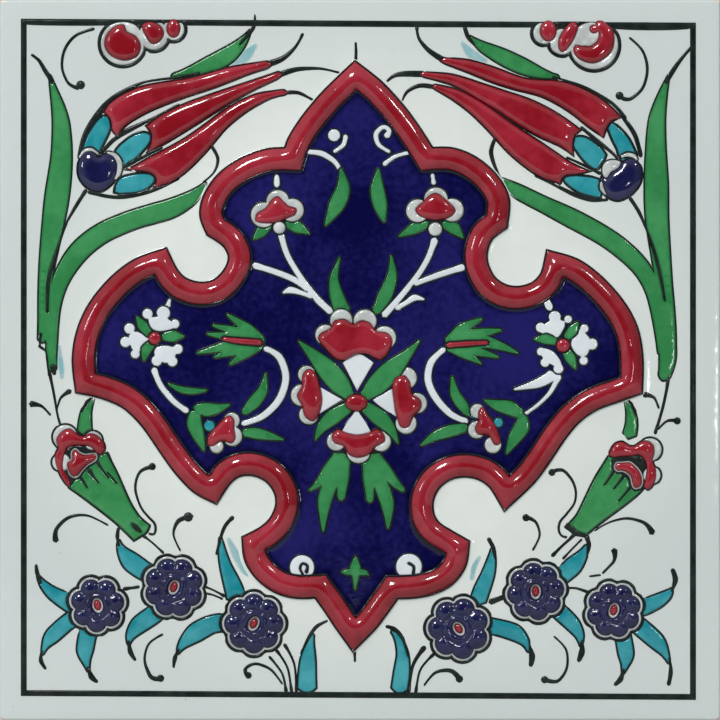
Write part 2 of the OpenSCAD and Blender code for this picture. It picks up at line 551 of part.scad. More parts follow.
// Each rosette: centre x, y, outer radius, number of petals, turn of the first petal, tilt and size of the eye
ROSETTES = [
  [-72.9, -68.1, 8.1, 7, 10, 12],
  [-51.7, -63.1, 8.9, 8, 20, -20],
  [-29.5, -73.2, 8.9, 8, 0, -25],
  [27.4, -74.6, 9.2, 7, 24, 35],
  [48.8, -64.3, 8.6, 8, 8, 0],
  [70.5, -69.5, 8.2, 8, 16, -15]
];

module petal_ring(r, n, turn, petal_r, reach) {
  circle(r = reach, $fn = 16);
  for (k = [0 : n - 1])
    rotate(turn + 360 * k / n) translate([reach, 0]) circle(r = petal_r, $fn = 14);
}

// Blue relief of rosette i, grown by extra
module rosette_shape(i, extra = 0) {
  q = ROSETTES[i];
  translate([q[0], q[1]])
    petal_ring(q[2], q[3], q[4], 0.33 * q[2] + extra, 0.58 * q[2]);
}

// Oval hollow in the middle of rosette i, grown by extra
module rosette_eye(i, extra = 0) {
  q = ROSETTES[i];
  oval(q[0], q[1], 1.6 + extra, 2.3 + extra, q[5]);
}

module rosette_pip(i) {
  q = ROSETTES[i];
  oval(q[0], q[1], 1, 1.5, q[5]);
}

TURQUOISE_LEAVES = [
  [[-89.4, -60, 0.4], [-88.2, -62, 1.7], [-85.6, -64.6, 3.2], [-81.8, -66.9, 4.4], [-79.6, -68.2, 4.6]],
  [[-88.2, -81.6, 0.4], [-87.4, -79.4, 1.8], [-85.6, -76.8, 3.9], [-81.4, -73, 4.2], [-78.6, -71, 4.4]],
  [[-75.4, -86.4, 0.4], [-76, -84, 1.9], [-76.4, -81, 4.2], [-75.8, -77, 4.6], [-75, -74, 4.6]],
  [[-67, -50.2, 0.4], [-66.4, -52.4, 2], [-63.8, -55.8, 4.9], [-59.6, -58.8, 4.9], [-57, -60, 4.6]],
  [[-64.2, -79, 0.4], [-63.8, -76.8, 2.2], [-61.6, -73.8, 4.4], [-58, -71.2, 4.8], [-56, -69.6, 4.8]],
  [[-50.6, -81.4, 0.4], [-49.4, -79.2, 2.2], [-45.8, -75.9, 4.9], [-41, -73.4, 4.7], [-37.6, -73, 4.6]],
  [[-38.7, -49.4, 0.4], [-38.4, -52.6, 1.7], [-37.4, -57, 2.9], [-35.6, -62, 4.4], [-34.4, -65.6, 5]],
  [[-13.1, -76.4, 0.4], [-13.8, -79, 2], [-14.4, -83, 4], [-14.7, -88, 4.8], [-14.7, -91, 5]],
  [[8.9, -75.4, 0.4], [10.6, -77.6, 1.8], [11.8, -81.6, 3], [11.6, -86.6, 4.2], [11, -91.2, 4.4]],
  [[36.7, -52.6, 0.4], [36.5, -55.6, 2.2], [35.6, -59.4, 3.4], [33.8, -64, 4.2], [32.9, -66.6, 4.2]],
  [[46.7, -80.8, 0.4], [46, -78.6, 2], [43.2, -75.9, 4.2], [38.6, -74.4, 4.2], [35, -73.8, 4.4]],
  [[62.8, -51.6, 0.4], [61.8, -54, 2.6], [59.4, -57, 4.6], [56.6, -59.6, 4.4], [55, -61, 4.2]],
  [[61.4, -79.4, 0.4], [61, -76.6, 2.2], [59.2, -73.6, 3.8], [56.4, -70.8, 4.2], [54.4, -69, 4.2]],
  [[86.6, -63.6, 0.4], [85.6, -65, 2.2], [83, -66.8, 3.6], [79, -68.6, 4.2], [76.4, -69.4, 4.2]],
  [[85.8, -84, 0.4], [84.8, -81.6, 1.9], [82.6, -78.4, 4.2], [78.6, -74.8, 4.6], [76.4, -73, 4.4]],
  [[73, -87, 0.4], [73.6, -84.8, 1.9], [73.9, -82, 4], [73.3, -78, 4.2], [72.8, -75.4, 4.2]]];

// Black points that run on from the turquoise leaves, and the swelling of their contours
LEAF_POINTS = [
  [[-90, -56.9, 0.6], [-89.6, -59.4, 1.2], [-88.6, -62, 0.5]],
  [[-87.3, -85.8, 0.6], [-88.6, -83.6, 1.2], [-88.4, -80.8, 0.5]],
  [[-73, -89.4, 0.7], [-74.6, -88, 1.6], [-75.6, -85.4, 0.5]],
  [[-67.1, -46.7, 0.7], [-67.4, -49, 1.1], [-67, -51.6, 0.5]],
  [[-62.4, -83.4, 0.6], [-63.8, -81, 1.4], [-64.2, -78.2, 0.5]],
  [[-51.8, -85.4, 0.5], [-51.4, -82.8, 1.2], [-50.4, -80.4, 0.5]],
  [[-35.3, -43.7, 1], [-37.4, -46, 1], [-38.8, -49.6, 0.9], [-39.9, -54, 0.5]],
  [[-9, -72.4, 0.6], [-12, -74, 1], [-14.2, -77, 0.9], [-16.4, -81.6, 0.5]],
  [[7.3, -74, 0.8], [9.6, -74.8, 1.2], [11.9, -77.4, 0.9], [13.5, -82.4, 0.5]],
  [[35.7, -49.6, 0.9], [37, -52.2, 1.2], [37.8, -55.6, 0.5]],
  [[47.4, -84.9, 1], [47.8, -82.4, 1.7], [47.2, -79.4, 0.5]],
  [[62.8, -48.8, 1.2], [63.6, -51.4, 1.2], [63.2, -54, 0.5]],
  [[60.7, -83.6, 0.9], [61.6, -81.2, 1.7], [61.7, -78, 0.5]],
  [[86.8, -58.2, 1], [87.6, -61, 1.5], [86.6, -64.2, 0.5]],
  [[85.7, -90.2, 0.9], [86.3, -86.8, 1.2], [86, -82.8, 0.5]],
  [[70.8, -90.2, 0.8], [72.4, -88.6, 1.5], [73.2, -86, 0.5]]
];

TENDRILS = [
  [[-65.6, -63.6, 0.9], [-61.4, -63, 0.7]],
  [[-43.4, -62.8, 0.7], [-40.6, -64, 0.5], [-37.6, -65.6, 0.8]],
  [[-43.6, -64.6, 0.5], [-41, -65.2, 0.5], [-38.2, -66.4, 0.5]],
  [[-60.2, -48.8, 0.6], [-57.4, -51, 0.5], [-54.6, -53.6, 0.6]],
  [[-54.8, -76.2, 0.5], [-58.6, -78.8, 0.6], [-59.8, -83.6, 0.7], [-57.8, -88.2, 1.2], [-55.4, -88.4, 1.4]],
  [[-31, -88, 1.4], [-31.9, -86, 1], [-29.2, -84.4, 0.8], [-24.8, -86, 0.7], [-21.6, -90, 0.4]],
  [[-23.4, -80.4, 0.6], [-20.2, -85.4, 0.6], [-18.9, -93, 0.6]],
  [[-21, -79, 0.8], [-18.3, -84.4, 0.6], [-17.6, -93, 0.6]],
  [[-25.2, -82.4, 0.6], [-21.6, -87.2, 0.6], [-20.4, -93, 0.7]],
  [[17.9, -79.8, 1.2], [14.8, -84.6, 0.9], [13.3, -93, 0.8]],
  [[20.6, -81.6, 0.6], [16.8, -86, 0.6], [15.4, -93, 0.6]],
  [[27.8, -88.8, 1.6], [25.4, -86.4, 1.2], [21, -86.8, 0.8], [17.8, -90.4, 0.4]],
  [[53.9, -76.8, 0.4], [57.2, -80.4, 0.6], [57.4, -85.6, 0.7], [54.8, -89.2, 0.9], [51.2, -88.8, 1.4]],
  [[36.2, -67.2, 1.7], [41.2, -65.4, 1.1]],
  [[57, -63.4, 0.6], [60, -63.4, 0.6], [63.6, -64.6, 1]],
  [[59.6, -48.6, 0.9], [56.4, -51.4, 0.7], [53.4, -54.4, 0.9]],
  [[61.6, -49.8, 0.5], [59, -52.4, 0.5], [56.4, -55.2, 0.6]],
  [[-1.2, 88.2, 0.5], [-1.1, 85.6, 0.8], [-1.2, 83.2, 1]],
  [[-1.5, -81, 0.9], [-1.4, -83.8, 0.5]]
];
TENDRIL_DOTS = [[-55.4, -88.4, 1], [-31, -87.6, 0.9], [27.6, -88.6, 1], [51.3, -88.8, 1]];

// ---- the rosette in the middle ------------------------------------------------------------------

module lobe_north_shape() {
  field([
    [-11.7, 6], [-10.1, 7.8], [-8.5, 8.5], [-7, 10.8], [-4.1, 11.2], [-1.8, 9.9], [0.4, 10.9], [2.9, 10.1],
    [4.9, 7.9], [7.4, 7.5], [9, 5.4], [7.9, 2.2], [5.5, 0], [2.3, 1.5], [-0.9, 1.7], [-4.1, 0],
    [-6.6, 0.3], [-9.4, 2.8]
  ]);
}

module lobe_south_shape() {
  field([
    [-7.8, -21], [-6.2, -19.3], [-4.1, -20.1], [-0.9, -20.8], [2.3, -20.2], [4.6, -19.2], [6.6, -20.6],
    [6.8, -22.7], [4.4, -24], [2.9, -25.9], [-0.3, -27.1], [-3.1, -26.2], [-4.5, -24], [-7, -23]
  ]);
}

module lobe_west_shape() {
  field([
    [-14.3, -2.6], [-12.5, -3.5], [-11.1, -7.4], [-10.5, -11.2], [-11.4, -15.1], [-13, -17], [-15.2, -15.7],
    [-16.2, -12.5], [-17.4, -9.9], [-16.2, -7.4], [-15.9, -4.2]
  ]);
}

module lobe_east_shape() {
  field([
    [10.3, -4.8], [12.4, -4.4], [14, -6.6], [14.5, -9.3], [16.8, -11.2], [16.8, -13.6], [14.8, -15.7],
    [13.6, -18.4], [11.4, -18.6], [10, -15.1], [9.3, -10.6], [9, -6.8]
  ]);
}

module left_bud_shape() {
  field([
    [-29, 38.6], [-28.4, 40.8], [-26.3, 42], [-24.7, 44.2], [-22.9, 45.4], [-21.3, 44], [-19.6, 42.6],
    [-17.7, 42],
    [-18.1, 40.3], [-20.7, 39.2], [-23.2, 38.2], [-26.4, 38]
  ]);
}

module right_bud_shape() {
  field([
    [15.4, 41.7], [17, 43.4], [18.9, 45.3], [21.1, 46.3], [23.3, 45], [25.3, 43.2], [26.5, 41.4],
    [24.6, 39.5], [20.8, 38.8], [17, 39.8]
  ]);
}

module left_small_flower_shape() {
  field([
    [-42.2, -23.6], [-42, -20.9], [-39.5, -18], [-37.5, -16], [-36.1, -15.5], [-35, -16.6], [-34.9, -19.4],
    [-34.6, -21.6], [-35.6, -23.1], [-37.5, -22.6], [-38.9, -22.6], [-40.6, -23.8]
  ]);
}

module right_small_flower_shape() {
  field([
    [32.9, -14.6], [34.1, -13], [35.5, -15.1], [37.3, -17.6], [38.6, -20.8], [39, -23], [37.5, -23.6],
    [35.6, -20.9], [33, -20.8], [32, -18.9], [32.9, -17]
  ]);
}

// Pale scallops behind the red lobes, buds and small flowers
RIM_DOTS = [
  [-5.2, 11, 3.1], [1.4, 10.8, 3.2], [-9.6, 7, 2.8], [6.8, 6.2, 3.2],
  [-6.6, -22.6, 2.6], [-0.4, -25.4, 3.3], [5.8, -22.6, 2.8],
  [-14.8, -4, 2.4], [-16.2, -9.8, 3], [-14.2, -15.2, 2.7],
  [12.8, -5, 3], [15.8, -12, 2.8], [12.8, -17.6, 2.9],
  [-22.8, 44, 3.2], [-26.8, 40.3, 3.5], [-18.8, 41.6, 3.2],
  [21.1, 44.6, 3.3], [16, 41.4, 3.2], [25.6, 41.6, 3.2],
  [-35.6, -16.8, 2.2], [-35.4, -21.2, 2.7], [-39.8, -24, 1.9],
  [32.6, -14.2, 2], [32.4, -19.4, 2.4], [36.9, -23.6, 2.3]
];

PIP = [-1, -11.9];

WEDGES = [
  [[-0.8, -8.6], [-4.8, -0.8], [-1, 2.4], [3.8, -0.8]],
  [[-4.8, -11], [-11.6, -7.2], [-11.6, -15.2]],
  [[3.6, -11], [10.6, -7], [10.8, -16.2]],
  [[-0.9, -13.6], [-5, -19.8], [-0.9, -21.2], [3.2, -20.2]]
];

ROSETTE_LEAVES = [
  [[-17, 5.2, 0.4], [-13.2, 1.6, 3], [-9, -2.8, 5.6], [-5.4, -7, 5.4], [-2.8, -10, 2.6]],
  [[16.6, 5.4, 0.4], [13, 1.4, 2.8], [8.6, -3, 5.6], [4.4, -7.2, 5.4], [1.2, -10.2, 2.6]],
  [[-12.4, -22.2, 0.4], [-10.6, -18.8, 2.8], [-7.4, -15.8, 4.2], [-3.4, -13.2, 3]],
  [[10.6, -23.2, 0.4], [8.6, -19.4, 2.8], [5.4, -16, 4.4], [1.4, -13, 3]]
];

MEDALLION_LEAVES = [
  [[-5.6, 28.4, 0.4], [-7.2, 22.8, 2.3], [-6.4, 17.6, 3.8], [-4.8, 13.4, 4.2]],
  [[8.6, 29, 0.4], [8.9, 23.4, 2.7], [6.8, 17.6, 3.8], [4.4, 13.4, 2]],
  [[-5.3, 53, 0.6], [-4.7, 47.8, 3.6], [-6.6, 42.8, 4.2], [-9.6, 37.4, 0.5]],
  [[5.1, 53, 0.6], [4.8, 47.6, 3.7], [5.7, 42.6, 3.7], [6.7, 38.4, 0.6]],
  [[-25.4, 37.5, 2.2], [-27.4, 35.7, 3.1], [-29.6, 33.5, 0.5]],
  [[-20, 37.9, 2.2], [-17.4, 36.9, 3.3], [-14.1, 35.1, 0.5]],
  [[18.4, 37.8, 2.2], [15, 36.5, 3.1], [10.8, 34.3, 0.4]],
  [[23.6, 37.8, 2.4], [26.2, 36.5, 3.3], [28.6, 33.9, 0.5]],
  [[-27.2, 5.2, 2], [-31, 8.4, 3], [-36.8, 12.6, 0.6]],
  [[-28, 5.4, 2], [-33.4, 7.6, 2.9], [-40.8, 9.6, 0.6]],
  [[-30, 5, 2], [-36, 6.4, 2.6], [-42.4, 7.2, 0.5]],
  [[-28, 4, 2], [-36.4, 3.8, 3], [-45.2, 1.9, 0.5]],
  [[-29, 3.8, 2], [-34.8, 2.5, 2.7], [-40.4, 0.8, 0.5]],
  [[-27.6, 4, 2], [-31.6, 2, 2.9], [-36.2, -1.3, 0.5]],
  [[24.4, 5, 2], [28.4, 8.6, 3], [33.8, 11.4, 0.6]],
  [[25, 4.8, 2], [31.2, 7, 3.2], [39.2, 8.3, 0.6]],
  [[27, 4.2, 2.4], [35.2, 5, 3.4], [43.8, 1.9, 0.5]],
  [[24.6, 3.6, 2], [28.6, 2, 2.9], [33.6, -1, 0.5]],
  [[26, 3.8, 2], [32, 2.5, 2.7], [38.4, 0.8, 0.5]],
  [[-45.4, -13.4, 2.4], [-43, -13.8, 3.8], [-39.4, -13.5, 2.6], [-36.2, -12.4, 0.5]],
  [[-45.6, -14.6, 2.8], [-46, -17.6, 4.1], [-44.6, -21.6, 3], [-43.3, -25.2, 0.5]],
  [[-26.2, -3.7, 0.4], [-27, -8.4, 2.7], [-29.6, -12, 3.4], [-32.2, -14.6, 1.6]],
  [[-32.2, -20.2, 2], [-29, -20.4, 3.1], [-25, -21.2, 2.2], [-21.4, -22.1, 0.5]],
  [[34.6, -11.2, 0.5], [38.2, -12.6, 3], [41.6, -13.4, 3.9], [44.6, -15.2, 2.6]],
  [[45.2, -15.6, 2], [45, -18.4, 4.1], [42.8, -22, 3.4], [40.7, -26, 0.5]],
  [[25.6, -4.7, 0.5], [26.4, -9.4, 2.7], [28.6, -12.8, 2.9], [30.2, -15.2, 1.2]],
  [[29.4, -18.8, 2], [25.6, -19.6, 3.3], [20.8, -21.2, 2.6], [17, -23.7, 0.5]],
  [[-5.6, -27, 4], [-8.6, -30.8, 3.6], [-11.6, -34.4, 2], [-14, -36.2, 0.6]],
  [[-5.4, -27.4, 4.4], [-7.6, -33, 4], [-9.8, -39, 3.8], [-10.2, -47.6, 0.5]],
  [[-4.8, -27.2, 4], [-4.9, -33, 3.6], [-5.2, -38.6, 1.6]],
  [[3.8, -27.2, 4], [7, -30.8, 3.5], [9.8, -34.2, 2.4], [12, -36.2, 1.2]],
  [[3.6, -27.6, 4.2], [5.6, -34, 4], [7.6, -40, 3.6], [7.8, -46.8, 0.5]],
  [[2.8, -27.4, 4], [2.6, -33, 3.4], [2.8, -39.2, 1.5]],
  [[-62, 12, 0.5], [-60.4, 9.6, 2.7], [-58.4, 7.1, 1.8]],
  [[-54.6, 6.4, 2], [-51.8, 6.6, 3.2], [-48.9, 6.5, 0.5]],
  [[-57.6, 4.8, 2], [-59.4, 2.6, 2.8], [-60, -0.3, 0.5]],
  [[60.5, 10.5, 0.5], [59.2, 8.4, 2.8], [57.4, 6.2, 1.8]],
  [[48.4, 5.7, 0.5], [51.4, 5.8, 2.8], [54.4, 5, 1.8]],
  [[56.8, 3, 1.8], [58.5, 0.4, 2.9], [59.9, -2.5, 0.5]],
  [[-53.2, -6.6, 0.5], [-49.8, -8.2, 1.8], [-46, -8.7, 1.7], [-42.6, -8.4, 0.5]],
  [[-1.2, -54.6, 0.5], [-1.3, -57.6, 3], [-1.2, -60.6, 1.8], [-1.4, -63.8, 0.4]],
  [[-5.1, -58.9, 0.4], [-3.2, -58.9, 1.8], [0.8, -59, 1.8], [2.4, -59.6, 0.4]]
];

WHITE_STEMS = [
  [[-21.9, 34.7, 1.7], [-20.2, 29.2, 1.6], [-16.4, 22.8, 1.6], [-11.8, 16.8, 1.9], [-8, 13.4, 1.8]],
  [[-29.4, 26.3, 1.6], [-23.4, 24.4, 1.7], [-18.1, 22.2, 1.7], [-14.6, 19.6, 1.4]],
  [[-21.4, 18.6, 0.5], [-19.4, 19.4, 1.9], [-16.8, 18.8, 1.4], [-13.4, 17.6, 1.2]],
  [[20.8, 33.5, 1.7], [18.9, 28.3, 1.6], [15.8, 23.2, 1.6], [10.6, 16.8, 1.7], [6.7, 12.4, 1.9]],
  [[28.8, 25.8, 1.7], [22.4, 23.8, 1.7], [15.2, 21.2, 1.3]],
  [[17.8, 16.8, 0.5], [15.2, 17.3, 1.8], [13, 16, 1.4], [10.2, 14.4, 1.4]],
  [[-4, 62.2, 1.2], [-4.6, 59.8, 1.3], [-7.2, 57.8, 0.8]],
  [[-14.4, 57.8, 1.2], [-10.6, 57.3, 1.6], [-7.2, 55.2, 1.4], [-5.8, 53.3, 1.2]],
  [[7.4, 62.2, 1.7], [8.1, 63.6, 1.4], [6.6, 64.7, 1.2], [4.5, 62.8, 1.4], [5.2, 59.8, 1.2],
   [8.2, 57.8, 0.8]],
  [[6.7, 54.3, 1.1], [9.6, 56.4, 1.1], [13.8, 57.7, 0.9]],
  [[-23.1, 51.2, 1], [-23.1, 48.3, 1.3]],
  [[20.1, 51.5, 0.9], [20.5, 49, 1.2]],
  [[-26.4, 3.2, 1.2], [-22.6, 1, 1.9], [-20.6, -4.8, 2], [-22.6, -11.2, 2], [-27.4, -15.8, 1.8],
   [-32.6, -17.7, 1.2]],
  [[23.4, 3, 1.2], [19.9, -0.4, 1.9], [18.9, -5.5, 2], [21.1, -10.6, 2], [25.3, -15.1, 1.8],
   [29.6, -17.1, 1.4]],
  [[53.6, -4.2, 3], [49.6, -6.4, 2.6], [42.8, -8.2, 0.5]],
  [[55.2, -4.4, 1.6], [52.8, -9, 1.2], [49.2, -12.6, 1], [45.8, -15, 0.8]],
  [[-57.2, -2.6, 1.6], [-55.4, -7, 1.6], [-51.6, -11.6, 1.6], [-48, -14.2, 1.4]],
  [[-52.8, 16.8, 0.7], [-53.4, 15, 1.5]],
  [[51.6, 16.8, 1.7], [52.8, 14.2, 1.6]]
];
STEM_DOTS = [[-7.2, 62.4, 1.7], [-16.1, -57.6, 3.4], [13.6, -57.4, 3.6]];
STEM_SPIRALS = [
  [[-14.9, -59, 0.9], [-14.6, -57.2, 0.8], [-16, -56.6, 0.7], [-16.6, -58, 0.7], [-15.8, -59.6, 0.5]],
  [[14.8, -59.4, 0.8], [14.9, -57.4, 0.8], [13.4, -56.4, 0.7]]
];

LEFT_SIDE_FLOWER = [
  [-59, 12.8, 1.45], [-54.6, 13, 1.9], [-51.4, 10, 1.3],
  [-64, 8.7, 1.5], [-65.1, 5, 1.5], [-62.4, 1.7, 1.3],
  [-50.6, 3, 1.4], [-52.1, -0.4, 1.45], [-56.4, -0.2, 1.5]
];

module left_side_flower_petals() {
  field([[-58.9, 11.6], [-56.6, 12], [-54, 12.2], [-51.6, 9.6], [-51.9, 8.7], [-55.1, 8], [-57.6, 8.6]]);
  field([[-63.3, 8], [-60.5, 7.2], [-58.6, 5.8], [-60.4, 3.6], [-61.9, 1.9], [-64.4, 4.8]]);
  field([[-56.4, 3.6], [-50.9, 3.6], [-51.6, 0.1], [-54.1, -0.9], [-56.9, 0.5]]);
}

RIGHT_SIDE_FLOWER = [
  [50.2, 9, 1.4], [54.1, 11.9, 1.7], [57.8, 11.3, 1.1],
  [62.3, 8.7, 1.2], [64.4, 4.4, 1.6], [62.1, -0.2, 1.2],
  [50.3, 2.3, 1.2], [51.4, -0.7, 1.3], [55.1, -2.4, 1.4]
];

module right_side_flower_petals() {
  field([[49.8, 8.3], [53.4, 11.5], [56.9, 10.8], [56.2, 8], [54.4, 6], [51.6, 7]]);
  field([[60.8, 8.7], [63.7, 6.2], [64, 3], [61.7, 0.5], [59, 3.2], [58.8, 5.4]]);
  field([[49.8, 3.1], [52.3, 3], [54.4, 1.6], [56.2, -1.6], [53.7, -1.6], [50.9, 0.1]]);
}

// ---- how the fields share the face --------------------------------------------------------------
// Raised bodies come first, then pale rims, black lines, flat fields and thin washes: each kind leaves
// room for the ones named before it, so that no two bodies overlap.

module frame_with_contour() {
  offset(delta = 0.35) frame_shape(bead_w);
}

module tulip_relief_shapes() {
  boss_rim_shapes();
  left_tulip_petal_shape();
  left_tulip_boss_shape();
  right_tulip_petal_shape();
  right_tulip_boss_shape();
}

module outer_relief_shapes() {
  tulip_relief_shapes();
  left_cloud_lobe_shape();
  right_cloud_lobe_shape();
  left_carnation_shape();
  right_carnation_shape();
  for (i = [0 : len(ROSETTES) - 1]) rosette_shape(i);
  frame_with_contour();
}

module rosette_rim_shapes() {
  for (i = [0 : len(ROSETTES) - 1]) rosette_shape(i, 0.75);
}

module outer_rim_shapes() {
  cloud_rim_shape();
  carnation_rim_shape();
  rosette_rim_shapes();
}

module outer_leaf_shapes() {
  strokes(LEFT_LEAVES);
  strokes(RIGHT_LEAVES);
}

module tulip_contours() {
  strokes(LEFT_TULIP_LINES);
  strokes(RIGHT_TULIP_LINES);
  contour(0.35) tulip_relief_shapes();
  contour(0.6) {
    left_tulip_base_shapes();
    right_tulip_base_shapes();
  }
}

module leaf_contours() {
  strokes(LEAF_ACCENTS);
  contour(0.4) outer_leaf_shapes();
}

module cloud_contours() {
  strokes(CLOUD_LINES);
  dots(CLOUD_DOTS);
  intersection() {
    contour(0.9) cloud_rim_shape();
    translate([-80, 70]) square([160, 23.6]);
  }
}

module carnation_contours() {
  strokes(CARNATION_LINES);
  dots(CARNATION_DOTS);
  contour(0.5) carnation_rim_shape();
  carnation_heart_shape();
  contour(0.35) left_carnation_shape();
  contour(0.35) right_carnation_shape();
  contour(0.5) calyx_shape();
}

module rosette_contours() {
  strokes(LEAF_POINTS);
  contour(0.8) rosette_rim_shapes();
  contour(0.45) strokes(TURQUOISE_LEAVES);
}

module border_shape() {
  difference() {
    polygon(BORDER_CORNERS);
    offset(delta = -border_w) polygon(BORDER_CORNERS);
  }
}

module outer_line_shapes() {
  tulip_contours();
  leaf_contours();
  cloud_contours();
  carnation_contours();
  rosette_contours();
  strokes(TENDRILS);
  dots(TENDRIL_DOTS);
}

// Black lines of one motif, kept off relief, rims, the border and the line bodies named before them
module line_layer() {
  color([0.07, 0.1, 0.09]) layer(face_z, line_t) difference() {
    children(0);
    outer_relief_shapes();
    outer_rim_shapes();
    border_shape();
    if ($children > 1) children([1 : $children - 1]);
  }
}

// A flat colour field on the white glaze, kept off everything that lies over it
module paint_layer(t = paint_t) {
  layer(face_z, t) difference() {
    children(0);
    outer_relief_shapes();
    outer_rim_shapes();
    outer_line_shapes();
    border_shape();
    if ($children > 1) children([1 : $children - 1]);
  }
}

module medallion_relief_shapes() {
  lobe_north_shape();
  lobe_south_shape();
  lobe_west_shape();
  lobe_east_shape();
  left_bud_shape();
  right_bud_shape();
  left_small_flower_shape();
  right_small_flower_shape();
  centre_pip_shape();
  side_pip_shapes();
  strokes(TUFT_STRIPS);
}

TUFT_STRIPS = [
  [[-38, 5.9, 0.9], [-34, 5.3, 1.6], [-27.6, 4.8, 1.7]],
  [[24.4, 4.1, 1.3], [30, 4.5, 1.5], [35.4, 4.8, 0.9]]
];
SIDE_PIPS = [[-57, 6, 1.8], [56.4, 4, 1.9]];
BUD_KNOTS = [[-22.4, 36.7, 1.7], [20.9, 36.3, 1.9]];
DABS = [[-41.8, -18.3, 1.5], [38.4, -17.4, 1.3], [31.6, -14.8, 1.3]];

module centre_pip_shape() {
  oval(PIP[0], PIP[1], 3.1, 2.4);
}

module side_pip_shapes() {
  dots(SIDE_PIPS);
}

module rosette_leaf_shapes() {
  difference() {
    strokes(ROSETTE_LEAVES);
    medallion_relief_shapes();
  }
}

module rosette_leaf_room() {
  offset(delta = 0.35) strokes(ROSETTE_LEAVES);
}

module medallion_rim_shapes() {
  difference() {
    dots(RIM_DOTS);
    medallion_relief_shapes();
    rosette_leaf_room();
    dots(BUD_KNOTS);
  }
}

module wedge_shapes() {
  difference() {
    for (w = WEDGES) polygon(w);
    medallion_relief_shapes();
    medallion_rim_shapes();
    rosette_leaf_room();
  }
}

module medallion_leaf_shapes() {
  difference() {
    strokes(MEDALLION_LEAVES);
    offset(delta = 0.3) medallion_relief_shapes();
    offset(delta = 0.3) dots(RIM_DOTS);
    offset(delta = 0.4) dots(BUD_KNOTS);
    rosette_leaf_room();
  }
}

module medallion_leaf_room() {
  offset(delta = 0.35) strokes(MEDALLION_LEAVES);
}

module stem_shapes() {
  difference() {
    union() {
      strokes(WHITE_STEMS);
      dots(STEM_DOTS);
    }
    strokes(STEM_SPIRALS);
    medallion_relief_shapes();
    offset(delta = 0.3) dots(RIM_DOTS);
    offset(delta = 0.4) dots(BUD_KNOTS);
    offset(delta = 0.35) side_flower_fields();
    medallion_leaf_room();
    rosette_leaf_room();
  }
}

module side_flower_fields() {
  dots(LEFT_SIDE_FLOWER);
  left_side_flower_petals();
  dots(RIGHT_SIDE_FLOWER);
  right_side_flower_petals();
}

// The scallops of list and the petals given as children, cut back to clear the leaves and pips
module side_flower_shape(list) {
  difference() {
    union() {
      dots(list);
      children();
    }
    medallion_relief_shapes();
    medallion_leaf_room();
  }
}

module knot_shapes() {
  difference() {
    dots(BUD_KNOTS);
    medallion_relief_shapes();
  }
}

module dab_shapes() {
  difference() {
    dots(DABS);
    medallion_relief_shapes();
    medallion_rim_shapes();
    medallion_leaf_room();
  }
}

module medallion_flower_shapes() {
  medallion_relief_shapes();
  rosette_leaf_shapes();
  medallion_rim_shapes();
  wedge_shapes();
  side_flower_shape(LEFT_SIDE_FLOWER) left_side_flower_petals();
  side_flower_shape(RIGHT_SIDE_FLOWER) right_side_flower_petals();
  knot_shapes();
  dab_shapes();
}

module medallion_spray_shapes() {
  medallion_leaf_shapes();
  stem_shapes();
}

// A flat motif on the cobalt ground, kept inside the bead
module motif_layer(t = paint_t) {
  layer(ground_z, t) difference() {
    children();
    frame_with_contour();
  }
}

// ---- the bodies ---------------------------------------------------------------------------------

clay = [0.82, 0.72, 0.6];
white = [0.9, 0.92, 0.91];
red = [0.72, 0.1, 0.17];
blue = [0.09, 0.06, 0.36];
green = [0.13, 0.55, 0.27];
turquoise = [0.1, 0.6, 0.68];
black = [0.07, 0.1, 0.09];

module clay_body() {
  groove = (tile_w - land_w) / 2 / (2 * ribs + 1);
  color(clay) difference() {
    translate([-tile_w / 2, -body_t, -tile_w / 2]) cube([tile_w, body_t, tile_w]);
    for (side = [-1, 1], k = [0 : ribs - 1])
      translate([side * (land_w / 2 + groove * (2 * k + 1.5)), -rib_depth / 2, 0])
        cube([groove, rib_depth + 0.002, tile_w - 12], center = true);
  }
}

module white_glaze() {
  step = glaze_t / 2;
  color(white) {
    translate([-tile_w / 2, -body_t - step, -tile_w / 2]) cube([tile_w, step, tile_w]);
    translate([-tile_w / 2 + arris, -body_t - glaze_t, -tile_w / 2 + arris])
      cube([tile_w - 2 * arris, step, tile_w - 2 * arris]);
  }
}

module border_line() {
  color(black) layer(face_z, line_t) difference() {
    border_shape();
    outer_relief_shapes();
    outer_rim_shapes();
  }
}

module cobalt_ground() {
  color(blue) layer(face_z, paint_t) difference() {
    medallion_shape();
    frame_with_contour();
  }
}

module red_frame() {
  color(red) relief(face_z, bead_h, 0.7) frame_shape(bead_w);
}

module frame_contour() {
  color(black) layer(face_z, line_t) difference() {
    frame_with_contour();
    frame_shape(bead_w);
  }
}

module left_tulip_petals() {
  color(red) relief(face_z, relief_h) left_tulip_petal_shape();
}

module right_tulip_petals() {
  color(red) relief(face_z, relief_h) right_tulip_petal_shape();
}

// A base of tulip petals, kept a hair narrower than its outline so that its corners stay clean
module base_layer() {
  color(turquoise) layer(face_z, paint_t) offset(delta = 2 * hair) offset(delta = -3 * hair) difference() {
    children();
    outer_relief_shapes();
    outer_rim_shapes();
    outer_line_shapes();
  }
}

module left_tulip_bases() {
  base_layer() left_tulip_base_shapes();
}

module right_tulip_bases() {
  base_layer() right_tulip_base_shapes();
}

module left_tulip_boss() {
  color(blue) relief(face_z, relief_h) difference() {
    left_tulip_boss_shape();
    left_tulip_petal_shape();
    boss_rim_shapes();
  }
}

module right_tulip_boss() {
  color(blue) relief(face_z, relief_h) difference() {
    right_tulip_boss_shape();
    right_tulip_petal_shape();
    boss_rim_shapes();
  }
}

module tulip_boss_rims() {
  color(white) layer(face_z, 0.7 * relief_h) difference() {
    boss_rim_shapes();
    left_tulip_petal_shape();
    right_tulip_petal_shape();
  }
}

module tulip_lines() {
  line_layer() tulip_contours();
}

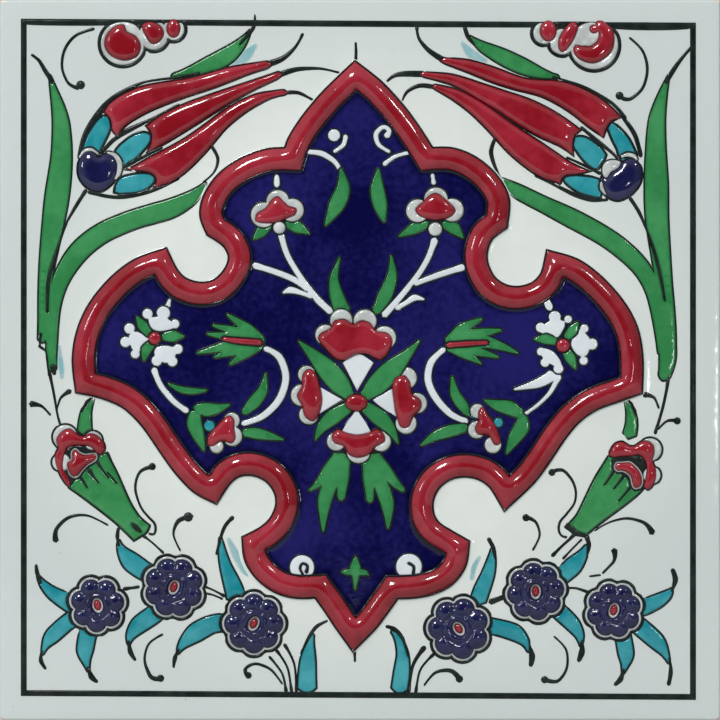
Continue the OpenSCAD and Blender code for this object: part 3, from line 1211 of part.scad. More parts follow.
module long_leaves(list) {
  color(green) paint_layer() {
    strokes(list);
    left_tulip_base_shapes();
    right_tulip_base_shapes();
  }
}

module left_long_leaves() {
  long_leaves(LEFT_LEAVES);
}

module right_long_leaves() {
  long_leaves(RIGHT_LEAVES);
}

module leaf_lines() {
  line_layer() {
    leaf_contours();
    tulip_contours();
  }
}

module left_cloud_lobes() {
  color(red) relief(face_z, relief_h) left_cloud_lobe_shape();
}

module right_cloud_lobes() {
  color(red) relief(face_z, relief_h) right_cloud_lobe_shape();
}

module cloud_rims() {
  color(white) layer(face_z, 0.5 * relief_h) difference() {
    cloud_rim_shape();
    outer_relief_shapes();
  }
}

module cloud_lines() {
  line_layer() {
    cloud_contours();
    tulip_contours();
    leaf_contours();
  }
}

module turquoise_washes() {
  color(turquoise) paint_layer(0.5 * paint_t) {
    strokes(TURQUOISE_WASHES);
    outer_leaf_shapes();
    strokes(TURQUOISE_LEAVES);
  }
}

module left_carnation_petals() {
  color(red) relief(face_z, relief_h) left_carnation_shape();
}

module right_carnation_petals() {
  color(red) relief(face_z, relief_h) right_carnation_shape();
}

module carnation_rims() {
  color(white) layer(face_z, 0.5 * relief_h) difference() {
    carnation_rim_shape();
    outer_relief_shapes();
    rosette_rim_shapes();
  }
}

module carnation_calyxes() {
  color(green) paint_layer() {
    calyx_shape();
    outer_leaf_shapes();
  }
}

module carnation_lines() {
  line_layer() {
    carnation_contours();
    leaf_contours();
  }
}

module left_rosettes() {
  color(blue) for (i = [0 : 2]) relief(face_z, relief_h, 0.4) difference() {
    rosette_shape(i);
    rosette_eye(i);
  }
}

module right_rosettes() {
  color(blue) for (i = [3 : 5]) relief(face_z, relief_h, 0.4) difference() {
    rosette_shape(i);
    rosette_eye(i);
  }
}

module rosette_rims() {
  color(white) layer(face_z, 0.4 * relief_h) difference() {
    rosette_rim_shapes();
    outer_relief_shapes();
  }
}

module rosette_eyes() {
  color(white) layer(face_z, 0.3 * relief_h) for (i = [0 : len(ROSETTES) - 1]) difference() {
    rosette_eye(i);
    rosette_pip(i);
  }
}

module rosette_pips() {
  color(red) layer(face_z, 0.6 * relief_h) for (i = [0 : len(ROSETTES) - 1]) rosette_pip(i);
}

module rosette_lines() {
  line_layer() {
    rosette_contours();
    carnation_contours();
    leaf_contours();
  }
}

module turquoise_leaves() {
  color(turquoise) paint_layer() strokes(TURQUOISE_LEAVES);
}

module tendrils() {
  line_layer() {
    union() {
      strokes(TENDRILS);
      dots(TENDRIL_DOTS);
    }
    tulip_contours();
    leaf_contours();
    carnation_contours();
    rosette_contours();
  }
}

module lobe_north() {
  color(red) relief(ground_z, relief_h) lobe_north_shape();
}

module lobe_south() {
  color(red) relief(ground_z, relief_h) lobe_south_shape();
}

module lobe_west() {
  color(red) relief(ground_z, relief_h) lobe_west_shape();
}

module lobe_east() {
  color(red) relief(ground_z, relief_h) lobe_east_shape();
}

module centre_pip() {
  color(red) relief(ground_z, relief_h) centre_pip_shape();
}

module left_bud() {
  color(red) relief(ground_z, relief_h) left_bud_shape();
}

module right_bud() {
  color(red) relief(ground_z, relief_h) right_bud_shape();
}

module left_small_flower() {
  color(red) relief(ground_z, relief_h) left_small_flower_shape();
}

module right_small_flower() {
  color(red) relief(ground_z, relief_h) right_small_flower_shape();
}

module side_flower_pips() {
  color(red) layer(ground_z, relief_h) side_pip_shapes();
}

module tuft_strips() {
  color(red) layer(ground_z, 0.5 * relief_h) strokes(TUFT_STRIPS);
}

module medallion_rims() {
  color(white) motif_layer(0.5 * relief_h) medallion_rim_shapes();
}

module medallion_wedges() {
  color(white) motif_layer() wedge_shapes();
}

module rosette_leaves() {
  color(green) motif_layer() rosette_leaf_shapes();
}

module medallion_leaves() {
  color(green) motif_layer() medallion_leaf_shapes();
}

module white_stems() {
  color(white) motif_layer() stem_shapes();
}

module bud_knots() {
  color(white) motif_layer(0.6 * relief_h) knot_shapes();
}

module left_side_flower() {
  color(white) motif_layer() side_flower_shape(LEFT_SIDE_FLOWER) left_side_flower_petals();
}

module right_side_flower() {
  color(white) motif_layer() side_flower_shape(RIGHT_SIDE_FLOWER) right_side_flower_petals();
}

module turquoise_dabs() {
  color(turquoise) motif_layer() dab_shapes();
}

module medallion_flower_outlines() {
  color(black) layer(ground_z, line_t) difference() {
    offset(delta = 0.4) medallion_flower_shapes();
    offset(delta = hair) medallion_flower_shapes();
    offset(delta = hair) medallion_spray_shapes();
    frame_with_contour();
  }
}

module medallion_spray_outlines() {
  color(black) layer(ground_z, line_t) difference() {
    offset(delta = 0.4) medallion_spray_shapes();
    offset(delta = hair) medallion_spray_shapes();
    offset(delta = 0.4 + hair) medallion_flower_shapes();
    frame_with_contour();
  }
}

clay_body();
white_glaze();
border_line();
cobalt_ground();
red_frame();
frame_contour();
left_tulip_petals();
left_tulip_bases();
left_tulip_boss();
right_tulip_petals();
right_tulip_bases();
right_tulip_boss();
tulip_boss_rims();
tulip_lines();
left_long_leaves();
right_long_leaves();
leaf_lines();
left_cloud_lobes();
right_cloud_lobes();
cloud_rims();
cloud_lines();
turquoise_washes();
left_carnation_petals();
right_carnation_petals();
carnation_rims();
carnation_calyxes();
carnation_lines();
left_rosettes();
right_rosettes();
rosette_rims();
rosette_eyes();
rosette_pips();
rosette_lines();
turquoise_leaves();
tendrils();
lobe_north();
lobe_south();
lobe_west();
lobe_east();
centre_pip();
medallion_rims();
medallion_wedges();
rosette_leaves();
medallion_leaves();
white_stems();
left_bud();
right_bud();
bud_knots();
left_side_flower();
right_side_flower();
side_flower_pips();
left_small_flower();
right_small_flower();
turquoise_dabs();
tuft_strips();
medallion_flower_outlines();
medallion_spray_outlines();
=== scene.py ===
"""Looks for a square hand painted wall tile: a clay body under white glaze, with painted lines, flat enamels
and raised enamels laid on it. Each colour is grown from the outline of its own CAD node."""

import math

import bmesh
import bpy
import numpy as np
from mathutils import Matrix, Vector, kdtree
from mathutils.geometry import delaunay_2d_cdt


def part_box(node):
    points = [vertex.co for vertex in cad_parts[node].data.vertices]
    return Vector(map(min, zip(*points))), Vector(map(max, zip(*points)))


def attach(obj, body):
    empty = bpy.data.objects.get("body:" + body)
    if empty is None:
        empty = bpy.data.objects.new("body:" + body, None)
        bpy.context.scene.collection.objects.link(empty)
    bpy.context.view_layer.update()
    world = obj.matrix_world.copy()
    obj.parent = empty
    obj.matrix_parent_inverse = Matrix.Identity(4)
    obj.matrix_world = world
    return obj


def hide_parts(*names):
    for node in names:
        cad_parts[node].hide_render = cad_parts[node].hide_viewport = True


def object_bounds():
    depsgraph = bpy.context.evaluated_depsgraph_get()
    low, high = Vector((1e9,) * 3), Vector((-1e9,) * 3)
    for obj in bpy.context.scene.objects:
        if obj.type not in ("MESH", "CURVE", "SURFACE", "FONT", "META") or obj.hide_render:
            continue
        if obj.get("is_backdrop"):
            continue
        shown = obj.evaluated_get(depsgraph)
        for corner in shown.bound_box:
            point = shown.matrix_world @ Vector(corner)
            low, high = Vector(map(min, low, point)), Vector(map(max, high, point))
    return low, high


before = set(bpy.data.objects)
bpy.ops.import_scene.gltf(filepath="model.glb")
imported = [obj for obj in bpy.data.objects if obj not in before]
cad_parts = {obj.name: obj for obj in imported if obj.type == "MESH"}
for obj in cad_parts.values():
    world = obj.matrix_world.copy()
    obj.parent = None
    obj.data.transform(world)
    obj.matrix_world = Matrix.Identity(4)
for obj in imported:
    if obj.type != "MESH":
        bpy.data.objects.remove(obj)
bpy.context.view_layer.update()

bl_info = {
    "name": "Hand painted tile",
    "version": (1, 0, 0),
    "blender": (4, 5, 0),
    "location": "View3D > Sidebar > Tile",
    "description": "Builds the glazed and enamelled pieces of a relief wall tile around its CAD frame",
    "category": "Add Mesh",
}

MM = 0.001

# ---- places taken from the CAD frame, in millimetres ---------------------------------------------


def span(node, axis):
    """Low and high side of a CAD node along one axis, in millimetres."""
    low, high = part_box(node)
    return low[axis] / MM, high[axis] / MM


TILE_HALF = span("clay_body", 0)[1]
BODY_FRONT = -span("clay_body", 1)[0]
GLAZE_FRONT = -span("white_glaze", 1)[0]
GROUND_FRONT = -span("cobalt_ground", 1)[0]
# How far a piece reaches down into the layer that it lies on
SINK = 0.05
# Points of a CAD mesh that are nearer than this are one point
WELD = 0.0005
# Turn of an outline, in degrees, from which it is a true corner, and the same beside a very short side
CORNER = 48
SHORT_SIDE = 1.0
SHORT_CORNER = 118
# Keying grooves in the back: plain middle, groove depth, plain ends, grooves on each side
KEY_LAND = 30.0
KEY_DEPTH = 0.8
KEY_MARGIN = 6.0
KEY_COUNT = 4

INK_LINES = [
    "border_line", "tulip_lines", "leaf_lines", "cloud_lines", "carnation_lines", "rosette_lines",
    "tendrils", "medallion_flower_outlines", "medallion_spray_outlines",
]
RED_LOBES = [
    "left_cloud_lobes", "right_cloud_lobes", "left_carnation_petals", "right_carnation_petals",
    "lobe_north", "lobe_south", "lobe_west", "lobe_east", "left_bud", "right_bud",
    "left_small_flower", "right_small_flower",
]
RED_BEADS = ["centre_pip", "side_flower_pips", "tuft_strips", "rosette_pips"]
PALE_RIMS = [
    "tulip_boss_rims", "cloud_rims", "carnation_rims", "rosette_rims", "rosette_eyes", "medallion_rims",
    "bud_knots",
]
GREEN_FLATS = [
    "left_long_leaves", "right_long_leaves", "carnation_calyxes", "rosette_leaves", "medallion_leaves",
]
WHITE_FLATS = ["medallion_wedges", "white_stems", "left_side_flower", "right_side_flower"]
TURQUOISE_FLATS = ["left_tulip_bases", "right_tulip_bases", "turquoise_leaves", "turquoise_dabs"]

# ---- outlines ------------------------------------------------------------------------------------


def norms(vectors):
    """Length of each row of x and z."""
    return np.hypot(vectors[:, 0], vectors[:, 1])


def sides_of(faces):
    """The three sides of each triangle, as pairs of points."""
    return np.concatenate([faces[:, [0, 1]], faces[:, [1, 2]], faces[:, [2, 0]]])


def twice_area(points, faces):
    """Twice the area of each triangle, negative where it turns clockwise."""
    u = points[faces[:, 1]] - points[faces[:, 0]]
    v = points[faces[:, 2]] - points[faces[:, 0]]
    return u[:, 0] * v[:, 1] - u[:, 1] * v[:, 0]


def outlines(node):
    """Outlines of the side of a CAD node that lies against the tile: arrays of x and z in millimetres."""
    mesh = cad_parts[node].data
    places = np.empty(len(mesh.vertices) * 3)
    mesh.vertices.foreach_get("co", places)
    places = places.reshape(-1, 3) / MM
    mesh.calc_loop_triangles()
    corners = np.empty(len(mesh.loop_triangles) * 3, dtype=np.int64)
    mesh.loop_triangles.foreach_get("vertices", corners)
    corners = corners.reshape(-1, 3)
    keys = np.round(places / WELD).astype(np.int64)
    unique, index = np.unique(keys, axis=0, return_inverse=True)
    corners = index.reshape(-1)[corners]
    places = unique * WELD
    back = places[:, 1].max()
    flat = np.abs(places[corners, 1] - back).max(axis=1) < 0.002
    corners = corners[flat]
    edges = sides_of(corners)
    used = set(map(tuple, edges.tolist()))
    follow = {}
    for a, b in edges.tolist():
        if (b, a) not in used and a != b:
            follow.setdefault(a, []).append(b)
    loops = []
    while follow:
        start = next(iter(follow))
        loop = [start]
        here = start
        while True:
            ways = follow[here]
            following = ways.pop()
            if not ways:
                del follow[here]
            if following == start or following not in follow:
                break
            loop.append(following)
            here = following
        if len(loop) > 2:
            loops.append(places[loop][:, [0, 2]])
    return loops


def drop_short(loop, least=0.06):
    """The loop without points that nearly coincide."""
    keep = [loop[0]]
    for point in loop[1:]:
        if np.hypot(*(point - keep[-1])) > least:
            keep.append(point)
    if len(keep) > 3 and np.hypot(*(keep[0] - keep[-1])) < least:
        keep.pop()
    return np.array(keep)


def rounded(loop, step):
    """The loop as a smooth curve that keeps its true corners, with points about step apart."""
    loop = drop_short(loop)
    if len(loop) < 4:
        return loop
    ahead = np.roll(loop, -1, axis=0) - loop
    behind = loop - np.roll(loop, 1, axis=0)
    ahead_len = norms(ahead)
    behind_len = norms(behind)
    ahead_dir = ahead / ahead_len[:, None]
    behind_dir = behind / behind_len[:, None]
    turn = np.degrees(np.arccos(np.clip((ahead_dir * behind_dir).sum(axis=1), -1, 1)))
    small = np.minimum(ahead_len, behind_len) < SHORT_SIDE
    sharp = (turn > CORNER) & ~(small & (turn < SHORT_CORNER))
    heading = ahead_dir * behind_len[:, None] + behind_dir * ahead_len[:, None]
    heading = heading / np.maximum(norms(heading), 1e-9)[:, None]
    out = []
    count = len(loop)
    for i in range(count):
        j = (i + 1) % count
        chord = ahead_dir[i]
        start = heading[i]
        end = heading[j]
        leave = min(ahead_len[i], 2 * behind_len[i])
        arrive = min(ahead_len[i], 2 * ahead_len[j])
        if sharp[i] and sharp[j]:
            start = end = chord
        elif sharp[i]:
            start = 2 * chord - end
            leave = arrive
        elif sharp[j]:
            end = 2 * chord - start
            arrive = leave
        pieces = max(1, math.ceil(ahead_len[i] / step))
        t = np.arange(pieces)[:, None] / pieces
        out.append(
            (2 * t**3 - 3 * t**2 + 1) * loop[i]
            + (t**3 - 2 * t**2 + t) * leave * start
            + (3 * t**2 - 2 * t**3) * loop[j]
            + (t**3 - t**2) * arrive * end
        )
    return drop_short(np.concatenate(out), 0.03)


def inside(points, loops):
    """True for each point that lies within the loops, holes left out."""
    batch = 200
    a = np.concatenate(loops)
    b = np.concatenate([np.roll(loop, -1, axis=0) for loop in loops])
    rising = b[:, 1] - a[:, 1]
    slope = (b[:, 0] - a[:, 0]) / np.where(rising == 0, 1, rising)
    lowest, highest = np.minimum(a[:, 1], b[:, 1]), np.maximum(a[:, 1], b[:, 1])
    result = np.zeros(len(points), dtype=bool)
    order = np.argsort(points[:, 1])
    for first in range(0, len(points), batch):
        part = order[first : first + batch]
        some = points[part]
        band = (highest >= some[0, 1]) & (lowest <= some[-1, 1])
        level = some[:, 1:2]
        crosses = (a[None, band, 1] > level) != (b[None, band, 1] > level)
        where = a[None, band, 0] + (level - a[None, band, 1]) * slope[None, band]
        result[part] = (crosses & (some[:, 0:1] < where)).sum(axis=1) % 2 == 1
    return result


def outward(loops):
    """For each loop the unit normals at its points, away from the filled side."""
    normals = []
    for loop in loops:
        along = np.roll(loop, -1, axis=0) - np.roll(loop, 1, axis=0)
        reach = np.maximum(norms(along), 1e-9)
        normals.append(np.stack([along[:, 1], -along[:, 0]], axis=1) / reach[:, None])
    probes = np.concatenate([loop + 0.02 * normal for loop, normal in zip(loops, normals)])
    filled = inside(probes, loops)
    first = 0
    for k, loop in enumerate(loops):
        if filled[first : first + len(loop)].mean() > 0.5:
            normals[k] = -normals[k]
        first += len(loop)
    return normals


class Nearest:
    """Distance from a point to a set of outlines."""

    def __init__(self, loops, step=0.2):
        dense = []
        for loop in loops:
            run = np.roll(loop, -1, axis=0) - loop
            pieces = np.maximum(1, np.ceil(norms(run) / step)).astype(int)
            owner = np.repeat(np.arange(len(loop)), pieces)
            share = np.concatenate([np.arange(n) / n for n in pieces])
            dense += (loop[owner] + run[owner] * share[:, None]).tolist()
        self.tree = kdtree.KDTree(len(dense))
        for i, point in enumerate(dense):
            self.tree.insert((point[0], point[1], 0), i)
        self.tree.balance()

    def __call__(self, points):
        return np.array([self.tree.find((p[0], p[1], 0))[2] for p in points])


# ---- sheets of triangles over an outline ---------------------------------------------------------


class Sheet:
    """A triangulated area, with its rim and the distance of each point from the rim."""

    def __init__(self, loops, spacing, rows=(0.12, 0.34), creases=()):
        self.loops = loops
        points = list(loops)
        low = np.concatenate(loops).min(axis=0)
        high = np.concatenate(loops).max(axis=0)
        self.near = Nearest(loops)
        rim = np.concatenate(loops)
        away = np.concatenate(outward(loops))
        for row in rows:
            moved = rim - row * away
            moved = moved[inside(moved, loops)]
            if len(moved):
                points.append(moved[self.near(moved) > 0.85 * row])
        xs = np.arange(low[0] + spacing / 2, high[0], spacing)
        zs = np.arange(low[1] + spacing / 2, high[1], spacing * 0.866)
        grid = np.stack(np.meshgrid(xs, zs), axis=-1)
        grid[1::2, :, 0] += spacing / 2
        grid = grid.reshape(-1, 2)
        grid = grid[inside(grid, loops)]
        if len(grid):
            grid = grid[self.near(grid) > (rows[-1] if rows else 0) + 0.45 * spacing]
            points.append(grid)
        edges = []
        first = 0
        for loop in loops:
            n = len(loop)
            edges += [(first + k, first + (k + 1) % n) for k in range(n)]
            first += n
        for crease in creases:
            points.append(crease)
        every = np.concatenate(points)
        result = delaunay_2d_cdt([Vector(p) for p in every.tolist()], edges, [], 0, 1e-5)
        self.xz = np.array([(v.x, v.y) for v in result[0]])
        faces = np.array(result[2], dtype=np.int64)
        faces = faces[inside(self.xz[faces].mean(axis=1), loops)]
        faces = faces[np.abs(twice_area(self.xz, faces)) > 1e-7]
        flip = twice_area(self.xz, faces) < 0
        faces[flip] = faces[flip][:, ::-1]
        used, index = np.unique(faces, return_inverse=True)
        self.xz = self.xz[used]
        self.faces = index.reshape(-1, 3)
        pairs = sides_of(self.faces)
        count = len(self.xz)
        code = pairs[:, 0] * count + pairs[:, 1]
        back = pairs[:, 1] * count + pairs[:, 0]
        self.rim_edges = pairs[~np.isin(code, back)]
        self.rim = np.zeros(count, dtype=bool)
        self.rim[self.rim_edges.reshape(-1)] = True
        self.edge = self.near(self.xz)
        self.edge[self.rim] = 0

    def swell(self):
        """Height in millimetres of a drop that wets the whole outline, as the root of a membrane's height."""
        x = self.xz
        f = self.faces
        rows, cols, weights = [], [], []
        load = np.zeros(len(x))
        most_steps = 900
        for k in range(3):
            i, j, c = f[:, k], f[:, (k + 1) % 3], f[:, (k + 2) % 3]
            p, q = x[i] - x[c], x[j] - x[c]
            cross = np.maximum(np.abs(p[:, 0] * q[:, 1] - p[:, 1] * q[:, 0]), 1e-6)
            cot = np.clip((p * q).sum(axis=1) / cross, -20, 20) / 2
            rows.append(i)
            cols.append(j)
            weights.append(cot)
            load += np.bincount(i, cross / 6, len(x))
        rows, cols, weights = map(np.concatenate, (rows, cols, weights))
        weights = np.maximum(weights, -0.2)
        diagonal = np.bincount(rows, weights, len(x)) + np.bincount(cols, weights, len(x))
        diagonal = np.maximum(diagonal, 1e-6)
        free = ~self.rim

        def stiffness(h):
            pull = np.bincount(rows, weights * h[cols], len(x))
            pull += np.bincount(cols, weights * h[rows], len(x))
            return np.where(free, diagonal * h - pull, 0)

        h = np.zeros(len(x))
        residual = np.where(free, load, 0)
        z = residual / diagonal
        direction = z.copy()
        level = (residual * z).sum()
        goal = level * 1e-7
        for _ in range(most_steps):
            stiff = stiffness(direction)
            alpha = level / max((direction * stiff).sum(), 1e-20)
            h += alpha * direction
            residual -= alpha * stiff
            z = residual / diagonal
            fresh = (residual * z).sum()
            if fresh < goal:
                break
            direction = z + fresh / level * direction
            level = fresh
        return np.sqrt(2 * np.maximum(h, 0))


def solid(name, sheet, base, height):
    """A closed piece: the sheet raised by height over base, and the same area as its underside."""
    count = len(sheet.xz)
    order = np.where(sheet.rim, np.cumsum(sheet.rim) - 1, -1)
    ring = np.flatnonzero(sheet.rim)
    top = np.stack([sheet.xz[:, 0], -(base + height), sheet.xz[:, 1]], axis=1)
    low = np.stack([sheet.xz[ring, 0], np.full(len(ring), -(base - SINK)), sheet.xz[ring, 1]], axis=1)
    ring_edges = [(order[a], order[b]) for a, b in sheet.rim_edges]
    under = delaunay_2d_cdt([Vector(p) for p in sheet.xz[ring].tolist()], ring_edges, [], 0, 1e-6)
    faces = sheet.faces.tolist()
    sides = [(b, a, count + order[a], count + order[b]) for a, b in sheet.rim_edges]
    floor = []
    if len(under[0]) == len(ring) and len(under[2]):
        flat = np.array(under[2], dtype=np.int64)
        source = np.array([ids[0] if ids else 0 for ids in under[3]])
        flat = source[flat]
        flat = flat[inside(sheet.xz[ring][flat].mean(axis=1), sheet.loops)]
        turned = twice_area(sheet.xz[ring], flat) > 0
        flat[turned] = flat[turned][:, ::-1]
        floor = (flat + count).tolist()
    mesh = bpy.data.meshes.new(name)
    mesh.from_pydata((np.concatenate([top, low]) * MM).tolist(), [], faces + sides + floor)
    smooth = [True] * len(faces) + [False] * (len(sides) + len(floor))
    mesh.polygons.foreach_set("use_smooth", smooth)
    edge = mesh.attributes.new("edge_mm", "FLOAT", "POINT")
    edge.data.foreach_set("value", np.concatenate([sheet.edge, np.zeros(len(ring))]).astype(np.float32))
    mesh.validate()
    mesh.update()
    piece = bpy.data.objects.new(name, mesh)
    bpy.context.scene.collection.objects.link(piece)
    return piece


def settle(piece, node, material):
    """Gives a piece its material and its place in the frame: it stands for one CAD node."""
    piece.data.materials.append(material)
    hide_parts(node)
    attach(piece, "root")
    return piece


def base_of(node):
    """Front of whatever the node lies on, in millimetres from the back face."""
    return -span(node, 1)[1]


def node_sheet(node, step, spacing, grow=0.0, rows=(0.12, 0.34)):
    """The sheet over a node's footprint, widened by grow."""
    loops = [rounded(loop, step) for loop in outlines(node)]
    loops = [loop for loop in loops if len(loop) > 3]
    if grow:
        loops = [loop + grow * away for loop, away in zip(loops, outward(loops))]
    return Sheet(loops, spacing, rows)


# ---- sizes and colours a user would change -------------------------------------------------------


def colour(name, value, description):
    """A colour property with its default."""
    return bpy.props.FloatVectorProperty(
        name=name, description=description, subtype="COLOR", size=3, min=0, max=1, default=value
    )


def length(name, value, description):
    """A length property, with its default given in millimetres."""
    return bpy.props.FloatProperty(
        name=name, description=description, unit="LENGTH", precision=5, min=0, soft_max=10 * MM,
        default=value * MM
    )


class TileColours(bpy.types.PropertyGroup):
    """Colours of the fired glazes."""

    clay: colour("Clay", (0.62, 0.43, 0.28), "Unglazed body")
    white: colour("White glaze", (0.53, 0.575, 0.56), "Clear glaze over white slip")
    # The warm white lies towards the middle of the tile and fades out towards its corners.
    warm_white: colour("Warm white", (0.70, 0.735, 0.69), "White glaze where it lies thick")
    ink: colour("Outline", (0.006, 0.010, 0.009), "Brush-drawn outline")
    cobalt: colour("Cobalt", (0.0022, 0.002, 0.040), "Ground of the middle field")
    cobalt_thin: colour("Thin cobalt", (0.016, 0.014, 0.12), "Cobalt where the brush left it thin")
    navy: colour("Navy", (0.004, 0.005, 0.040), "Raised blue of the rosettes")
    red: colour("Red", (0.205, 0.005, 0.011), "Raised red enamel")
    red_light: colour("Light red", (0.345, 0.022, 0.040), "Raised red enamel where it thins")
    green: colour("Green", (0.050, 0.250, 0.088), "Copper green enamel")
    green_deep: colour("Deep green", (0.008, 0.125, 0.030), "Copper green where it pools")
    turquoise: colour("Turquoise", (0.0075, 0.20, 0.242), "Turquoise enamel")
    turquoise_pale: colour("Pale turquoise", (0.047, 0.305, 0.345), "Turquoise where it thins")
    rim: colour("Pale slip", (0.36, 0.385, 0.375), "Low rims round the petals")
    enamel_white: colour("White enamel", (0.56, 0.60, 0.62), "Flat white on the cobalt")


class TileSizes(bpy.types.PropertyGroup):
    """Heights of the fired layers."""

    flat: length("Flat enamel", 0.22, "Height of flat colour over what it lies on")
    line: length("Outline", 0.25, "Height of a painted line")
    bead: length("Bead", 2.15, "Height of the red frame bead")
    petal: length("Petal", 1.55, "Height of raised petals")
    rim: length("Rim", 0.75, "Height of the pale rims")
    pool: length("Glaze pool", 0.45, "How far the glaze climbs the foot of the bead")
    arris: length("Edge", 0.8, "Radius of the rounded edge of the glaze")


def colours():
    """The scene's glaze colours."""
    return bpy.context.scene.tile_colours


def size(name):
    """One of the scene's layer heights, in millimetres."""
    return getattr(bpy.context.scene.tile_sizes, name) / MM


# ---- shader groups -------------------------------------------------------------------------------


def new_group(name, inputs, outputs):
    """An empty shader group with named sockets; gives the group with its input and output nodes."""
    group = bpy.data.node_groups.new(name, "ShaderNodeTree")
    for label, kind, default in inputs:
        socket = group.interface.new_socket(label, in_out="INPUT", socket_type=kind)
        socket.default_value = default
    for label, kind in outputs:
        group.interface.new_socket(label, in_out="OUTPUT", socket_type=kind)
    return group, group.nodes.new("NodeGroupInput"), group.nodes.new("NodeGroupOutput")


def feed(tree, socket, given):
    """Links a socket to another one, or sets it to a number or a colour."""
    if hasattr(given, "links"):
        tree.links.new(given, socket)
    elif isinstance(given, (int, float)):
        socket.default_value = given
    else:
        socket.default_value = (*given, 1)


def noise(tree, scale, detail):
    """A noise texture in object space; gives its value output."""
    node = tree.nodes.new("ShaderNodeTexNoise")
    node.inputs["Detail"].default_value = detail
    feed(tree, node.inputs["Scale"], scale)
    tree.links.new(tree.nodes.new("ShaderNodeTexCoord").outputs["Object"], node.inputs["Vector"])
    return node.outputs["Fac"]


def ramp(tree, value, low, high, start=0.0, end=1.0):
    """value mapped smoothly from low..high to start..end; low and high may be sockets."""
    node = tree.nodes.new("ShaderNodeMapRange")
    node.interpolation_type = "SMOOTHSTEP"
    labels = ("Value", "From Min", "From Max", "To Min", "To Max")
    for label, given in zip(labels, (value, low, high, start, end)):
        feed(tree, node.inputs[label], given)
    return node.outputs["Result"]


def blend(tree, amount, first, second):
    """Mix of two colours; each may be a socket or a colour."""
    node = tree.nodes.new("ShaderNodeMix")
    node.data_type = "RGBA"
    for slot, given in ((0, amount), (6, first), (7, second)):
        feed(tree, node.inputs[slot], given)
    return node.outputs[2]


def maths(tree, kind, first, second):
    """A Math node; each side may be a socket or a number."""
    node = tree.nodes.new("ShaderNodeMath")
    node.operation = kind
    for socket, given in zip(node.inputs, (first, second)):
        feed(tree, socket, given)
    return node.outputs[0]


def attribute(tree, name):
    """A value stored on the mesh points."""
    node = tree.nodes.new("ShaderNodeAttribute")
    node.attribute_name = name
    return node.outputs["Fac"]


def brushwork_group():
    """Two colours blended as a loaded brush leaves them: broad clouds with finer streaks."""
    group, put, out = new_group(
        "Brushwork",
        [("Thick", "NodeSocketColor", (0, 0, 0, 1)), ("Thin", "NodeSocketColor", (1, 1, 1, 1)),
         ("Cloud", "NodeSocketFloat", 60.0), ("Streak", "NodeSocketFloat", 420.0),
         ("Amount", "NodeSocketFloat", 1.0)],
        [("Color", "NodeSocketColor")],
    )
    cloud = noise(group, put.outputs["Cloud"], 2.0)
    streak = noise(group, put.outputs["Streak"], 3.0)
    share = 0.68
    both = maths(
        group, "ADD", maths(group, "MULTIPLY", cloud, share), maths(group, "MULTIPLY", streak, 1 - share)
    )
    mask = ramp(group, both, 0.36, 0.66)
    mask = maths(group, "MULTIPLY", mask, put.outputs["Amount"])
    group.links.new(blend(group, mask, put.outputs["Thick"], put.outputs["Thin"]), out.inputs["Color"])
    return group


def rim_tone_group():
    """A second colour along the rim of a piece, fading over a given width: pooled glaze, and on the cobalt
    also painted shade at the foot of the bead.
    """
    group, put, out = new_group(
        "Rim tone",
        [("Body", "NodeSocketColor", (0, 0, 0, 1)), ("Rim", "NodeSocketColor", (1, 1, 1, 1)),
         ("Width", "NodeSocketFloat", 0.8), ("Amount", "NodeSocketFloat", 1.0)],
        [("Color", "NodeSocketColor"), ("Mask", "NodeSocketFloat")],
    )
    edge = attribute(group, "edge_mm")
    wobble = maths(group, "MULTIPLY", noise(group, 500.0, 2.0), 0.6)
    width = maths(group, "MULTIPLY", put.outputs["Width"], maths(group, "ADD", wobble, 0.7))
    mask = ramp(group, edge, 0.0, width, 1.0, 0.0)
    mask = maths(group, "MULTIPLY", mask, put.outputs["Amount"])
    group.links.new(blend(group, mask, put.outputs["Body"], put.outputs["Rim"]), out.inputs["Color"])
    group.links.new(mask, out.inputs["Mask"])
    return group


def glaze_skin_group():
    """Fine unevenness of fired glaze: a slow ripple and small orange peel, and a mask for its roughness."""
    group, put, out = new_group(
        "Glaze skin",
        [("Ripple", "NodeSocketFloat", 0.25), ("Peel", "NodeSocketFloat", 0.06)],
        [("Normal", "NodeSocketVector"), ("Wear", "NodeSocketFloat")],
    )
    slow = maths(group, "MULTIPLY", noise(group, 130.0, 1.0), put.outputs["Ripple"])
    fine = maths(group, "MULTIPLY", noise(group, 900.0, 2.0), put.outputs["Peel"])
    bump = group.nodes.new("ShaderNodeBump")
    bump.inputs["Distance"].default_value = 0.0004
    bump.inputs["Strength"].default_value = 1.0
    group.links.new(maths(group, "ADD", slow, fine), bump.inputs["Height"])
    group.links.new(bump.outputs["Normal"], out.inputs["Normal"])
    group.links.new(ramp(group, noise(group, 240.0, 3.0), 0.3, 0.75), out.inputs["Wear"])
    return group


def specks_group():
    """Sparse dark specks of iron in the glaze."""
    group, put, out = new_group(
        "Specks",
        [("Color", "NodeSocketColor", (1, 1, 1, 1)), ("Speck", "NodeSocketColor", (0.1, 0.08, 0.06, 1)),
         ("Density", "NodeSocketFloat", 260.0)],
        [("Color", "NodeSocketColor")],
    )
    cells = group.nodes.new("ShaderNodeTexVoronoi")
    group.links.new(group.nodes.new("ShaderNodeTexCoord").outputs["Object"], cells.inputs["Vector"])
    group.links.new(put.outputs["Density"], cells.inputs["Scale"])
    dot = ramp(group, cells.outputs["Distance"], 0.03, 0.07, 1.0, 0.0)
    rare = ramp(group, noise(group, 330.0, 0.0), 0.66, 0.7)
    mask = maths(group, "MULTIPLY", maths(group, "MULTIPLY", dot, rare), 0.55)
    group.links.new(blend(group, mask, put.outputs["Color"], put.outputs["Speck"]), out.inputs["Color"])
    return group


GROUPS = {}


